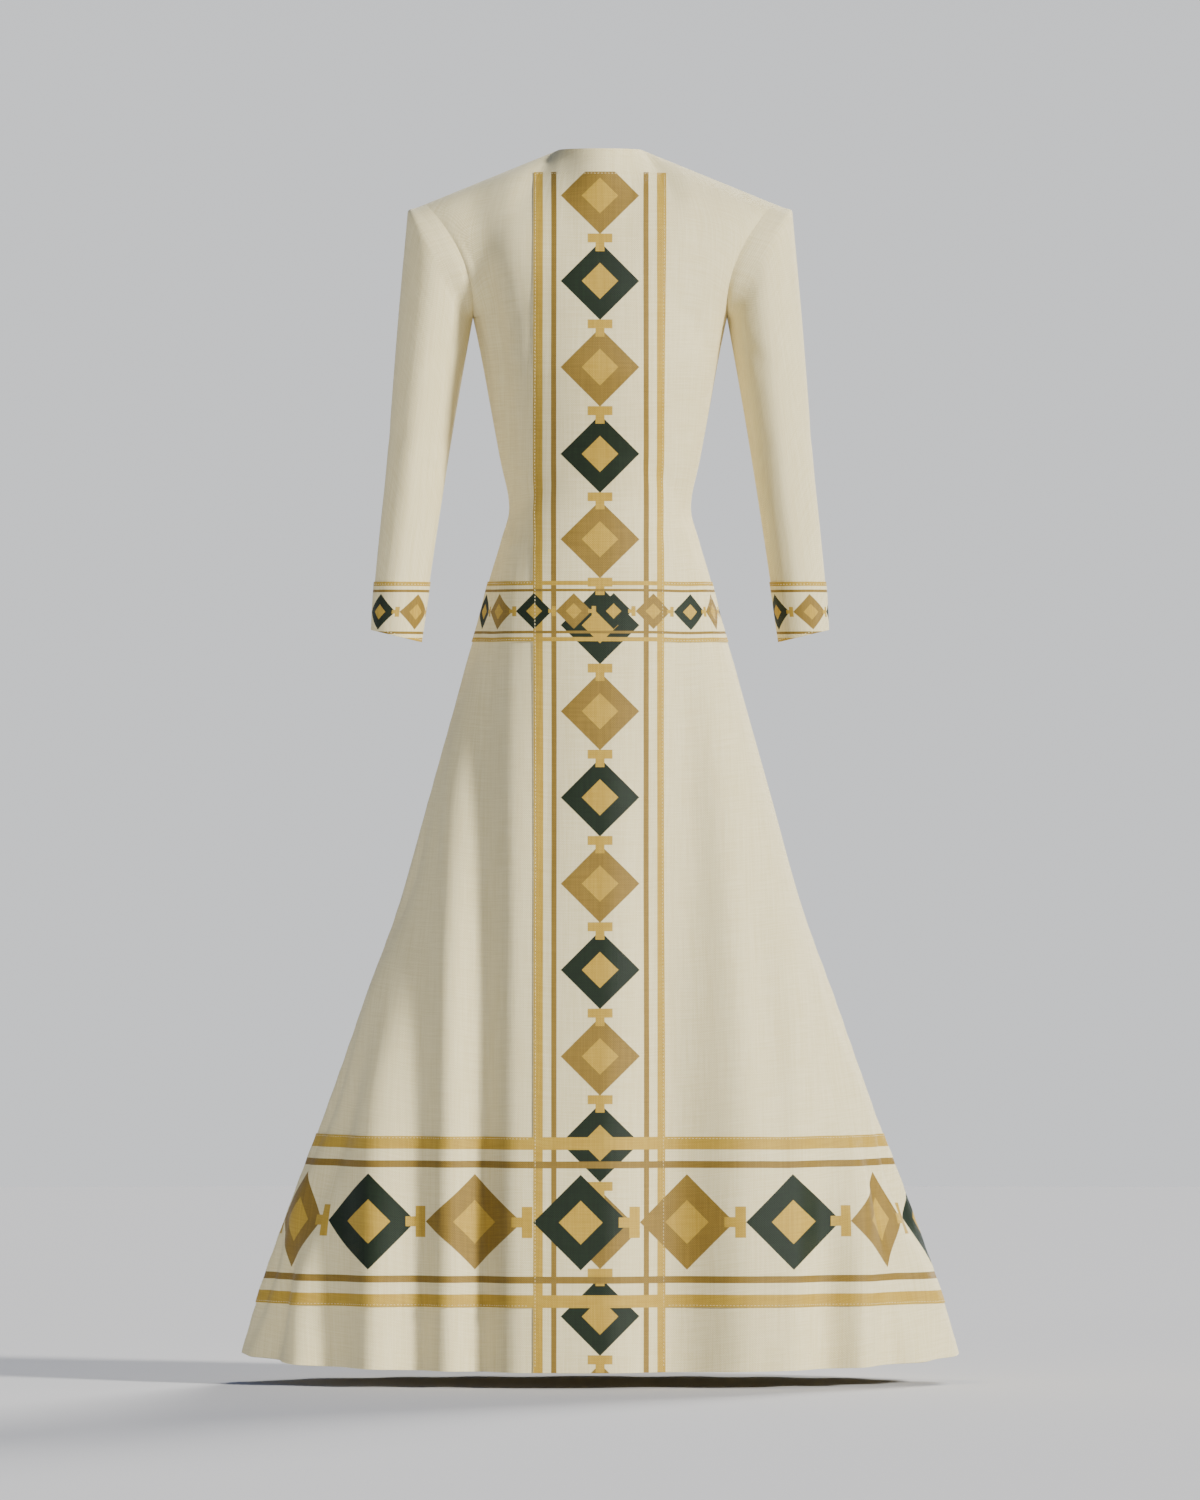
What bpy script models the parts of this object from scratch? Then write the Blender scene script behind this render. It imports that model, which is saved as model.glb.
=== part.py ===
"""Habesha kemis: a long A-line dress of handwoven cotton with woven tibeb bands.

The dress is hollow and filled out as it is worn. Metres, +Z up, the front towards -Y and the
wearer's left towards +X. The origin is the middle of the neck ring, level with the inner ends
of the shoulder seams, where the wearer carries the dress.

Every piece is a wall made from a grid of points. A body grid has rows from the shoulder down
to the hem and columns across. A sleeve grid has rings from the armhole to the cuff. A band
takes a part of its panel's own grid and moves it outwards.
"""

import math
from collections import namedtuple

import bpy
import numpy as np

# Walls and gaps.
CLOTH = 0.0018
BAND_CLOTH = 0.0012
SEAM_GAP = 0.0003

# Neck ring, shoulder seams and armholes.
NECK_HALF_WIDTH = 0.048
NECK_DEPTH = {"front": 0.058, "back": 0.054}
SHOULDER_TIP_X = 0.200
SHOULDER_TIP_Z = -0.062
UNDERARM_X = 0.146
UNDERARM_Z = -0.193
ARMHOLE_HALF_DEPTH = 0.056
ARMHOLE_SCOOP = 0.016

# Below its ring the neck flares out, and its edge softens from an oval's to a bell curve's.
# Both are per share of the way down to the underarm.
NECK_FLARE = 0.22
NECK_EDGE_POWER = 0.5
NECK_EDGE_SOFTENING = 9.0
NECK_EDGE_POWER_MOST = 2.0

# From the shoulder seam the cloth slopes down like a quarter of a sine wave by the neck, and
# turns over like a quarter of a circle from this far out to the shoulder's tip.
ROUND_STARTS_X = 0.030
ROUND_FROM_X = 0.110

# Level of each cut and band edge below the neck ring.
CENTRE_BAND_TOP_Z = -0.0276
HIP_BAND_TOP_Z = -0.4967
HIP_BAND_BOTTOM_Z = -0.566
HEM_BAND_TOP_Z = -1.131
HEM_BAND_BOTTOM_Z = -1.325
HEM_SIDE_Z = -1.382
HEM_DIP = 0.017
CENTRE_BAND_HALF_WIDTH = 0.0761

# The plan of a level cut through the body is a superellipse of this power.
PLAN_POWER = 2.3

Level = namedtuple("Level", "name z half_width front back")
BODY_LEVELS = (
    Level("chest", -0.150, 0.1560, 0.118, 0.104),
    Level("underarm", -0.193, 0.1460, 0.118, 0.104),
    Level("bust", -0.250, 0.1345, 0.122, 0.102),
    Level("under bust", -0.2875, 0.1277, 0.115, 0.098),
    Level("ribs", -0.3565, 0.1150, 0.096, 0.090),
    Level("waist", -0.4117, 0.1047, 0.086, 0.083),
    Level("above the hip band", -0.4485, 0.1139, 0.091, 0.090),
    Level("hip band top", -0.4967, 0.1282, 0.099, 0.103),
    Level("hip band middle", -0.5405, 0.1392, 0.107, 0.113),
    Level("high hip", -0.5865, 0.1530, 0.114, 0.123),
    Level("seat", -0.6325, 0.1656, 0.121, 0.131),
    Level("thigh", -0.7475, 0.1978, 0.138, 0.149),
    Level("knee", -0.8625, 0.2300, 0.154, 0.167),
    Level("below the knee", -0.9775, 0.2714, 0.170, 0.184),
    Level("calf", -1.0925, 0.3117, 0.186, 0.200),
    Level("hem band", -1.2075, 0.3542, 0.200, 0.215),
    Level("under the hem band", -1.325, 0.3960, 0.212, 0.228),
    Level("hem", -1.382, 0.4129, 0.217, 0.233),
)

# A fold is a soft upright trough, with its depth at four heights. Its place and half width
# are measured along X, or along Y for a fold at the side of the skirt.
Fold = namedtuple("Fold", "place half_width chest hip knee hem")
FRONT_FOLDS = (
    Fold(-0.385, 0.040, 0.000, 0.000, 0.000, 0.016),
    Fold(-0.310, 0.048, 0.000, 0.000, 0.000, 0.023),
    Fold(-0.214, 0.052, 0.000, 0.001, 0.012, 0.028),
    Fold(-0.141, 0.046, 0.004, 0.006, 0.021, 0.030),
    Fold(0.088, 0.085, 0.003, 0.006, 0.022, 0.028),
    Fold(0.266, 0.048, 0.000, 0.000, 0.002, 0.027),
    Fold(0.344, 0.050, 0.000, 0.000, 0.000, 0.028),
)
BACK_FOLDS = (
    Fold(-0.360, 0.048, 0.000, 0.000, 0.000, 0.020),
    Fold(-0.262, 0.050, 0.000, 0.000, 0.004, 0.024),
    Fold(-0.176, 0.044, 0.000, 0.000, 0.008, 0.022),
    Fold(-0.078, 0.056, 0.003, 0.004, 0.020, 0.028),
    Fold(0.070, 0.050, 0.003, 0.004, 0.018, 0.024),
    Fold(0.166, 0.048, 0.000, 0.000, 0.009, 0.026),
    Fold(0.258, 0.046, 0.000, 0.000, 0.005, 0.022),
    Fold(0.354, 0.052, 0.000, 0.000, 0.000, 0.024),
)
SIDE_FOLDS = (
    Fold(-0.078, 0.038, 0.000, 0.000, 0.004, 0.013),
    Fold(0.088, 0.040, 0.000, 0.000, 0.004, 0.014),
)
FOLD_HEIGHTS = {"shoulder": -0.040, "chest": -0.170, "hip": -0.530, "knee": -0.880,
                "hem": -1.382}
FOLD_EDGE_FADE = 0.028
SIDE_FOLDS_START_X = 0.20
SIDE_FOLDS_FULL_X = 0.30

# The sleeve's outline, seen from the front: x of its outer and inner edges at each height.
Edge = namedtuple("Edge", "z x")
SLEEVE_OUTER = (Edge(-0.070, 0.2210), Edge(-0.1955, 0.2323), Edge(-0.3565, 0.2450),
                Edge(-0.5175, 0.2605), Edge(-0.552, 0.2622))
SLEEVE_INNER = (Edge(-0.193, 0.1460), Edge(-0.3105, 0.1668), Edge(-0.4255, 0.1852),
                Edge(-0.5658, 0.2059))

# Rings of the sleeve, given by the heights of their outer and inner ends and half their depth.
Ring = namedtuple("Ring", "name outer_z inner_z half_depth")
SLEEVE_RINGS = (
    Ring("below the corner", -0.082, -0.2065, 0.0580),
    Ring("cap", -0.110, -0.2180, 0.0580),
    Ring("upper arm", -0.150, -0.2400, 0.0565),
    Ring("upper arm, low", -0.200, -0.2720, 0.0535),
    Ring("above the elbow", -0.255, -0.3120, 0.0495),
    Ring("elbow", -0.315, -0.3570, 0.0455),
    Ring("below the elbow", -0.375, -0.4020, 0.0415),
    Ring("forearm", -0.435, -0.4470, 0.0375),
    Ring("cuff band top", HIP_BAND_TOP_Z, HIP_BAND_TOP_Z, 0.0345),
    Ring("cuff band middle", -0.5244, -0.5312, 0.0332),
    Ring("cuff", -0.552, -0.5658, 0.0320),
)
SLEEVE_CORNER = Edge(-0.0702, 0.2208)
CORNER_INNER_DROP = (0.0028, 0.0070)
CUFF_BAND_RINGS = 2

# The armhole's scoop dies out by this ring, its points are evenly spread by the next one
# named, and the sleeve's folds begin and end over so many rings.
SCOOP_ENDS_RING = 3
EVEN_FROM_RING = 5
FOLDS_BEGIN_RINGS = 6
FOLDS_END_RINGS = 4

# A sleeve fold runs down the sleeve at an angle round the ring: 0 at the outer edge, 90 at
# the front, 180 at the inner edge.
SleeveFold = namedtuple("SleeveFold", "side angle half_angle depth")
SLEEVE_FOLDS = (
    SleeveFold(-1, 112.0, 44.0, 0.0040),
    SleeveFold(1, 66.0, 40.0, 0.0035),
    SleeveFold(-1, 262.0, 46.0, 0.0035),
    SleeveFold(1, 284.0, 46.0, 0.0040),
)

# Grid lines: the share of the way from the shoulder seam down to the underarm, then levels.
YOKE_ROWS = (0.0, 0.04, CENTRE_BAND_TOP_Z / UNDERARM_Z, 0.27, 0.42, 0.58, 0.74, 0.87, 0.95, 1.0)
BODY_ROWS = (-0.240, -0.2875, -0.3565, -0.390, -0.4117, -0.4335, HIP_BAND_TOP_Z,
             HIP_BAND_BOTTOM_Z, -0.6325, -0.715, -0.810, -0.910, -1.020, HEM_BAND_TOP_Z,
             -1.228, HEM_BAND_BOTTOM_Z)
INNER_COLUMNS = (0.0, 0.016, 0.032, 0.043, NECK_HALF_WIDTH, 0.062, CENTRE_BAND_HALF_WIDTH)
OUTER_COLUMNS = 20
PLAN_STEPS = 240
SHARP_ANGLE = math.radians(50.0)

# The button that closes the slit at the back of the neck.
BUTTON_X = 0.0095
BUTTON_Z = -0.014
BUTTON_RADIUS = 0.0058
BUTTON_THICKNESS = 0.0026
BUTTON_LIFT = 0.0006
BUTTON_SEGMENTS = 20

# The button's side: shares of its radius and of its thickness.
Turned = namedtuple("Turned", "radius height")
BUTTON_PROFILE = (Turned(0.86, 0.0), Turned(1.0, 0.22), Turned(1.0, 0.5), Turned(0.88, 0.76),
                  Turned(0.6, 0.92))

COTTON = (0.77, 0.72, 0.61, 1.0)
TIBEB_GOLD = (0.54, 0.38, 0.13, 1.0)
BUTTON_COLOUR = (0.60, 0.48, 0.28, 1.0)


def clear_scene():
    for item in list(bpy.data.objects):
        bpy.data.objects.remove(item, do_unlink=True)


def cloth_material(name, colour, roughness):
    material = bpy.data.materials.new(name)
    material.use_nodes = True
    shader = material.node_tree.nodes["Principled BSDF"]
    shader.inputs["Base Color"].default_value = colour
    shader.inputs["Roughness"].default_value = roughness
    shader.inputs["Metallic"].default_value = 0.0
    return material


def ease(share):
    """A smooth step from 0 to 1: flat at both ends."""
    share = np.clip(share, 0.0, 1.0)
    return share * share * (3.0 - 2.0 * share)


def curve_through(places, values, at):
    """A cubic curve through a table that never overshoots it.

    Each row's slope is the harmonic mean of the slopes on either side of it, or zero where
    they differ in sign.
    """
    order = np.argsort(places)
    places = np.asarray(places, dtype=float)[order]
    values = np.asarray(values, dtype=float)[order]
    steps = np.diff(places)
    chords = np.diff(values) / steps
    slopes = np.zeros(len(values))
    slopes[0], slopes[-1] = chords[0], chords[-1]
    same_way = chords[:-1] * chords[1:] > 0.0
    both = chords[:-1] + chords[1:]
    slopes[1:-1][same_way] = 2.0 * (chords[:-1] * chords[1:])[same_way] / both[same_way]
    at = np.clip(np.asarray(at, dtype=float), places[0], places[-1])
    cell = np.clip(np.searchsorted(places, at, side="right") - 1, 0, len(steps) - 1)
    share = (at - places[cell]) / steps[cell]
    rise = steps[cell]
    return ((1 + 2 * share) * (1 - share) ** 2 * values[cell]
            + share * (1 - share) ** 2 * rise * slopes[cell]
            + share ** 2 * (3 - 2 * share) * values[cell + 1]
            - share ** 2 * (1 - share) * rise * slopes[cell + 1])


def body_measure(column, z):
    return curve_through([level.z for level in BODY_LEVELS],
                         [getattr(level, column) for level in BODY_LEVELS], z)


def plan_depth(x, reference, depth):
    """Distance from the body's middle plane to a superellipse, at each x."""
    share = np.clip(np.abs(x) / reference, 0.0, 1.0)
    return depth * (1.0 - share ** PLAN_POWER) ** (1.0 / PLAN_POWER)


def column_places(reference, edge, depth):
    """The x of each column: set places as far as the centre band's edge, and then equal
    steps along the plan's curve, whose length is measured in many short chords."""
    turns = np.linspace(math.asin(CENTRE_BAND_HALF_WIDTH / reference),
                        math.asin(min(1.0, edge / reference)), PLAN_STEPS)
    x = reference * np.sin(turns)
    chords = np.hypot(np.diff(x), np.diff(plan_depth(x, reference, depth)))
    length = np.concatenate(([0.0], np.cumsum(chords)))
    share = np.arange(1, OUTER_COLUMNS + 1) / OUTER_COLUMNS
    outer = np.interp(share * length[-1], length, x)
    half = np.concatenate((INNER_COLUMNS, outer))
    return np.concatenate((-half[:0:-1], half))


def fold_strength(fold, z):
    """A fold's depth at a height: none at the shoulder, and then its own at each level."""
    heights = [FOLD_HEIGHTS[name] for name in ("hem", "knee", "hip", "chest", "shoulder")]
    return np.interp(z, heights, [fold.hem, fold.knee, fold.hip, fold.chest, 0.0])


def fold_depth(side, x, y, z, edge_y):
    """How far the cloth is drawn in at each point: the sum of the cosine-squared troughs."""
    total = np.zeros_like(x)
    for fold in FRONT_FOLDS if side == "front" else BACK_FOLDS:
        off = np.clip((x - fold.place) / fold.half_width, -1.0, 1.0)
        total += fold_strength(fold, z) * np.cos(off * math.pi / 2) ** 2
    for fold in SIDE_FOLDS:
        off = np.clip((y - fold.place) / fold.half_width, -1.0, 1.0)
        beside = ease((np.abs(x) - SIDE_FOLDS_START_X) / (SIDE_FOLDS_FULL_X - SIDE_FOLDS_START_X))
        total += fold_strength(fold, z) * np.cos(off * math.pi / 2) ** 2 * beside
    return total * ease((np.abs(y) - edge_y) / FOLD_EDGE_FADE)


def draw_in(side, x, y, z, edge_y, reference, depth):
    """Move points inwards by the fold depth, along the normal of the plan's superellipse."""
    drop = fold_depth(side, x, y, z, edge_y)
    normal_x = (np.abs(x) / reference) ** (PLAN_POWER - 1) / reference
    normal_y = np.clip(np.abs(y) / depth, 0.0, 1.0) ** (PLAN_POWER - 1) / depth
    length = np.hypot(normal_x, normal_y)
    return (x - np.sign(x) * drop * normal_x / length,
            y - np.sign(y) * drop * normal_y / length)


def armhole_point(share):
    """The armhole seam at a share of its height: an oval, scooped in at its middle."""
    turn = math.acos(1.0 - 2.0 * share)
    middle_x = 0.5 * (SHOULDER_TIP_X + UNDERARM_X)
    half_x = 0.5 * (SHOULDER_TIP_X - UNDERARM_X)
    x = middle_x + half_x * math.cos(turn) - ARMHOLE_SCOOP * math.sin(turn) ** 2
    y = ARMHOLE_HALF_DEPTH * math.sin(turn)
    z = SHOULDER_TIP_Z * (1.0 - share) + UNDERARM_Z * share
    return x, y, z


def yoke_row(side, share):
    """A row between the shoulder seam and the underarm."""
    way = -1.0 if side == "front" else 1.0
    edge_x, edge_y, _ = armhole_point(share)
    depth = float(body_measure(side, UNDERARM_Z))
    unrounded_edge = 2.0 * ARMHOLE_HALF_DEPTH * math.sqrt((1.0 - share) / (2.0 - share))
    taken = (1.0 - (unrounded_edge / depth) ** PLAN_POWER) ** (1.0 / PLAN_POWER)
    reference = edge_x / taken
    x = column_places(reference, edge_x, depth)
    beyond_neck = np.clip((np.abs(x) - NECK_HALF_WIDTH) / (edge_x - NECK_HALF_WIDTH), 0, 1)
    beyond_band = np.clip((np.abs(x) - CENTRE_BAND_HALF_WIDTH)
                          / (edge_x - CENTRE_BAND_HALF_WIDTH), 0.0, 1.0)
    levelled = min(1.0, share / (CENTRE_BAND_TOP_Z / UNDERARM_Z))
    slant = beyond_neck * (1.0 - levelled) + beyond_band * levelled
    z = UNDERARM_Z * share + SHOULDER_TIP_Z * (1.0 - share) * slant
    top_z = SHOULDER_TIP_Z * beyond_neck
    down = np.clip((top_z - z) / (top_z - UNDERARM_Z), 0.0, 1.0)
    turned = ease((np.abs(x) - ROUND_STARTS_X) / (ROUND_FROM_X - ROUND_STARTS_X))
    rounding = ((1.0 - turned) * np.sin(down * math.pi / 2)
                + turned * np.sqrt(down * (2.0 - down)))
    neck_share = np.clip(np.abs(x) / (NECK_HALF_WIDTH + NECK_FLARE * down), 0.0, 1.0)
    edge_power = np.minimum(NECK_EDGE_POWER + NECK_EDGE_SOFTENING * down, NECK_EDGE_POWER_MOST)
    neck = NECK_DEPTH[side] * (1.0 - neck_share ** 2) ** edge_power
    y = way * (neck + (plan_depth(x, reference, depth) - neck) * rounding)
    x, y = draw_in(side, x, y, z, edge_y, reference, depth)
    return np.stack((x, y + way * SEAM_GAP / 2, z), axis=1)


def level_row(side, z, dip=0.0):
    """A row at one level below the underarm. The hem dips towards the middle."""
    way = -1.0 if side == "front" else 1.0
    reference = float(body_measure("half_width", z))
    depth = float(body_measure(side, z))
    x = column_places(reference, reference, depth)
    y = way * plan_depth(x, reference, depth)
    heights = z - dip * np.abs(y) / depth
    x, y = draw_in(side, x, y, np.full_like(x, z), 0.0, reference, depth)
    return np.stack((x, y + way * SEAM_GAP / 2, heights), axis=1)


def panel_grid(side):
    """Rows from the shoulder to the hem, each from the wearer's right to the left."""
    rows = [yoke_row(side, share) for share in YOKE_ROWS]
    rows += [level_row(side, z) for z in BODY_ROWS]
    rows.append(level_row(side, HEM_SIDE_Z, HEM_DIP))
    return np.array(rows)


def unit(vectors):
    return vectors / np.linalg.norm(vectors, axis=-1, keepdims=True)


def panel_normals(side, grid):
    """Outward normals of a panel, level with its neighbour's along the seams they share."""
    down = np.gradient(grid, axis=0)
    across = np.gradient(grid, axis=1)
    normals = np.cross(down, across) if side == "front" else np.cross(across, down)
    normals = unit(normals)
    beyond_neck = np.abs(grid[0, :, 0]) >= NECK_HALF_WIDTH - 1e-6
    normals[0, beyond_neck, 1] = 0.0
    armhole_end = len(YOKE_ROWS) - 1
    normals[armhole_end:, (0, -1), 1] = 0.0
    if side == "back":
        middle = grid.shape[1] // 2
        normals[:, middle, 0] = 0.0
    return unit(normals)


def grid_faces(rows, columns, start, flip, wrap=False):
    """Two triangles for each cell of a grid, all cut along the same diagonal."""
    row, column = np.meshgrid(np.arange(rows - 1),
                              np.arange(columns if wrap else columns - 1), indexing="ij")
    following = (column + 1) % columns
    here = start + row * columns + column
    right = start + row * columns + following
    below = here + columns
    diagonal = right + columns
    first = np.stack((here, below, diagonal), axis=-1).reshape(-1, 3)
    second = np.stack((here, diagonal, right), axis=-1).reshape(-1, 3)
    faces = np.concatenate((first, second))
    return faces[:, ::-1] if flip else faces


def rim_faces(outer_line, inner_line, flip, wrap=False):
    """Triangles that close the wall's edge between an outer and an inner line of points."""
    if wrap:
        outer_line = np.append(outer_line, outer_line[0])
        inner_line = np.append(inner_line, inner_line[0])
    first = np.stack((outer_line[:-1], outer_line[1:], inner_line[1:]), axis=-1)
    second = np.stack((outer_line[:-1], inner_line[1:], inner_line[:-1]), axis=-1)
    faces = np.concatenate((first, second))
    return faces[:, ::-1] if flip else faces


def make_wall(name, outer, inner, material, flip, wrap=False):
    """A closed wall between two grids of the same size. With wrap, its last column joins
    its first and only the two ends have rims."""
    rows, columns = outer.shape[:2]
    count = rows * columns
    index = np.arange(count).reshape(rows, columns)
    faces = [grid_faces(rows, columns, 0, flip, wrap),
             grid_faces(rows, columns, count, not flip, wrap),
             rim_faces(index[0], index[0] + count, flip, wrap),
             rim_faces(index[-1], index[-1] + count, not flip, wrap)]
    if not wrap:
        faces.append(rim_faces(index[:, 0], index[:, 0] + count, not flip))
        faces.append(rim_faces(index[:, -1], index[:, -1] + count, flip))
    points = np.concatenate((outer.reshape(-1, 3), inner.reshape(-1, 3)))
    mesh = bpy.data.meshes.new(name)
    mesh.from_pydata(points.tolist(), [], np.concatenate(faces).tolist())
    mesh.validate()
    mesh.shade_smooth()
    mesh.set_sharp_from_angle(angle=SHARP_ANGLE)
    mesh.materials.append(material)
    item = bpy.data.objects.new(name, mesh)
    bpy.context.scene.collection.objects.link(item)
    return item


def pull_back(grid, edge, amount):
    """Move a grid's first or last column along its rows, towards the next column in."""
    moved = grid.copy()
    first, second = (0, 1) if edge == "first" else (-1, -2)
    step = grid[:, second] - grid[:, first]
    moved[:, first] += step * amount / np.linalg.norm(step, axis=1, keepdims=True)
    return moved


def make_band(name, grid, normals, material, flip, cut_back=None):
    """A strip that lies on its panel, made from the panel's own points moved outwards."""
    if cut_back:
        grid = pull_back(grid, cut_back, SEAM_GAP)
    under = grid + normals * SEAM_GAP
    over = grid + normals * (SEAM_GAP + BAND_CLOTH)
    return make_wall(name, over, under, material, flip)


def body_pieces(cotton, tibeb):
    """The front, the two backs and the bands that lie on them."""
    bands = {"hip": (HIP_BAND_TOP_Z, HIP_BAND_BOTTOM_Z),
             "hem": (HEM_BAND_TOP_Z, HEM_BAND_BOTTOM_Z)}
    levels = list(BODY_ROWS)
    first_level = len(YOKE_ROWS)
    row_of = {z: first_level + levels.index(z) for pair in bands.values() for z in pair}
    inner = len(INNER_COLUMNS) - 1
    grids = {}
    for side in ("front", "back"):
        grid = panel_grid(side)
        normals = panel_normals(side, grid)
        grids[side] = (grid, normals)
        middle = grid.shape[1] // 2
        flip = side == "back"
        if side == "front":
            make_wall("front_panel", grid, grid - normals * CLOTH, cotton, flip)
            top = YOKE_ROWS.index(CENTRE_BAND_TOP_Z / UNDERARM_Z)
            strip = np.s_[top:, middle - inner:middle + inner + 1]
            make_band("centre_front_band", grid[strip], normals[strip], tibeb, flip)
            reach = inner
        else:
            for name, part, edge in (("back_right", np.s_[:, :middle + 1], "last"),
                                     ("back_left", np.s_[:, middle:], "first")):
                half = pull_back(grid[part], edge, SEAM_GAP / 2)
                make_wall(name, half, half - normals[part] * CLOTH, cotton, flip)
            reach = 0
        for label, (top_z, bottom_z) in bands.items():
            rows = slice(row_of[top_z], row_of[bottom_z] + 1)
            right = np.s_[rows, :middle - reach + 1]
            left = np.s_[rows, middle + reach:]
            make_band(f"{label}_band_{side}_right", grid[right], normals[right], tibeb, flip,
                      cut_back="last")
            make_band(f"{label}_band_{side}_left", grid[left], normals[left], tibeb, flip,
                      cut_back="first")
    return grids


def sleeve_edge(table, z):
    return float(curve_through([edge.z for edge in table], [edge.x for edge in table], z))


def sleeve_axes():
    """The outer and inner ends of each ring below the armhole, and half its depth."""
    first_depth = SLEEVE_RINGS[0].half_depth
    cap_drop, corner_drop = CORNER_INNER_DROP
    half_way_x = 0.5 * (SHOULDER_TIP_X + SLEEVE_CORNER.x)
    half_way_z = 0.5 * (SHOULDER_TIP_Z + SLEEVE_CORNER.z)
    ends = [((half_way_x, half_way_z), UNDERARM_Z - cap_drop, first_depth),
            ((SLEEVE_CORNER.x, SLEEVE_CORNER.z), UNDERARM_Z - corner_drop, first_depth)]
    ends += [((sleeve_edge(SLEEVE_OUTER, ring.outer_z), ring.outer_z), ring.inner_z,
              ring.half_depth) for ring in SLEEVE_RINGS]
    return [(outer, (sleeve_edge(SLEEVE_INNER, inner_z), inner_z), depth)
            for outer, inner_z, depth in ends]


def sleeve_grid(side):
    """Rings of a sleeve. The first one is the armhole seam, parted from it by the seam gap.

    A point goes round each ring from its outer end, over the front, to its inner end and
    back: the ring's middle, plus half its width times the cosine, plus half its depth times
    the sine.
    """
    shares = np.array(YOKE_ROWS)
    front_turn = np.arccos(1.0 - 2.0 * shares)
    seam_turns = np.concatenate((front_turn, 2.0 * math.pi - front_turn[-2:0:-1]))
    even_turns = np.linspace(0.0, 2.0 * math.pi, len(seam_turns), endpoint=False)
    seam = np.array([armhole_point(share) for share in shares])
    behind = seam[-2:0:-1]
    first = np.concatenate((seam * (1, -1, 1), behind))
    first += (SEAM_GAP, 0.0, 0.0)
    first[len(shares) - 1] += (0.0, 0.0, -SEAM_GAP)
    rings = [first]
    axes = sleeve_axes()
    for number, (outer, inner, half_depth) in enumerate(axes, start=1):
        settled = ease(number / EVEN_FROM_RING)
        turns = seam_turns * (1.0 - settled) + even_turns * settled
        outer = np.array((outer[0], 0.0, outer[1]))
        inner = np.array((inner[0] + SEAM_GAP, 0.0, inner[1]))
        middle = 0.5 * (outer + inner)
        half = 0.5 * (outer - inner)
        scoop = ARMHOLE_SCOOP * (1.0 - ease(number / SCOOP_ENDS_RING))
        ring = middle + np.cos(turns)[:, None] * half
        ring[:, 1] -= half_depth * np.sin(turns)
        ring[:, 0] -= scoop * np.sin(turns) ** 2
        worn_in = ease(number / FOLDS_BEGIN_RINGS) * ease((len(axes) - number) / FOLDS_END_RINGS)
        drop = np.zeros(len(turns))
        for fold in SLEEVE_FOLDS:
            if fold.side == side:
                off = np.clip((np.degrees(turns) - fold.angle) / fold.half_angle, -1.0, 1.0)
                drop += fold.depth * np.cos(off * math.pi / 2) ** 2 * worn_in
        ring -= unit(ring - middle) * drop[:, None]
        rings.append(ring)
    return np.array(rings) * (side, 1, 1)


def sleeve_normals(side, grid):
    """Outward normals of a sleeve, level across the armhole's top and bottom points."""
    down = np.gradient(grid, axis=0)
    around = np.roll(grid, -1, axis=1) - np.roll(grid, 1, axis=1)
    normals = np.cross(down, around) * -side
    bottom = len(YOKE_ROWS) - 1
    normals[:, (0, bottom), 1] = 0.0
    return unit(normals)


def sleeve_pieces(cotton, tibeb):
    """Both sleeves, each with the band round its cuff."""
    for label, side in (("left", 1), ("right", -1)):
        grid = sleeve_grid(side)
        normals = sleeve_normals(side, grid)
        flip = side == 1
        make_wall(f"sleeve_{label}", grid, grid - normals * CLOTH, cotton, flip, wrap=True)
        cuff = np.s_[-1 - CUFF_BAND_RINGS:]
        under = grid[cuff] + normals[cuff] * SEAM_GAP
        over = grid[cuff] + normals[cuff] * (SEAM_GAP + BAND_CLOTH)
        make_wall(f"cuff_band_{label}", over, under, tibeb, flip, wrap=True)


def neck_button(grid, normals, material):
    """A small domed button on the left back, just under the neck edge. Its profile is turned
    about the cloth's normal: flat below, rounded at the rim and domed on top."""
    middle = grid.shape[1] // 2
    near, far = grid[1, middle], grid[2, middle + 1]
    across = (BUTTON_X - near[0]) / (far[0] - near[0])
    down = (BUTTON_Z - near[2]) / (far[2] - near[2])
    cell = np.s_[1:3, middle:middle + 2]
    weights = np.outer((1.0 - down, down), (1.0 - across, across))[:, :, None]
    axis = unit((normals[cell] * weights).sum(axis=(0, 1)))
    centre = (grid[cell] * weights).sum(axis=(0, 1)) + axis * (SEAM_GAP + BUTTON_LIFT)
    along = unit(np.cross(axis, (0.0, 0.0, 1.0)))
    up = np.cross(axis, along)
    turns = np.linspace(0.0, 2.0 * math.pi, BUTTON_SEGMENTS, endpoint=False)
    round_ring = np.cos(turns)[:, None] * along + np.sin(turns)[:, None] * up
    points = [centre]
    for radius, height in BUTTON_PROFILE:
        ring = centre + round_ring * radius * BUTTON_RADIUS + axis * height * BUTTON_THICKNESS
        points.extend(ring)
    points.append(centre + axis * BUTTON_THICKNESS)
    last = len(points) - 1
    faces = []
    for step in range(BUTTON_SEGMENTS):
        after = (step + 1) % BUTTON_SEGMENTS
        faces.append((0, 1 + after, 1 + step))
        for ring in range(len(BUTTON_PROFILE) - 1):
            low = 1 + ring * BUTTON_SEGMENTS
            high = low + BUTTON_SEGMENTS
            faces.append((low + step, low + after, high + after, high + step))
        top = 1 + (len(BUTTON_PROFILE) - 1) * BUTTON_SEGMENTS
        faces.append((top + step, top + after, last))
    mesh = bpy.data.meshes.new("neck_button")
    mesh.from_pydata([tuple(point) for point in points], [], faces)
    mesh.validate()
    mesh.shade_smooth()
    mesh.materials.append(material)
    item = bpy.data.objects.new("neck_button", mesh)
    bpy.context.scene.collection.objects.link(item)
    return item


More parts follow.
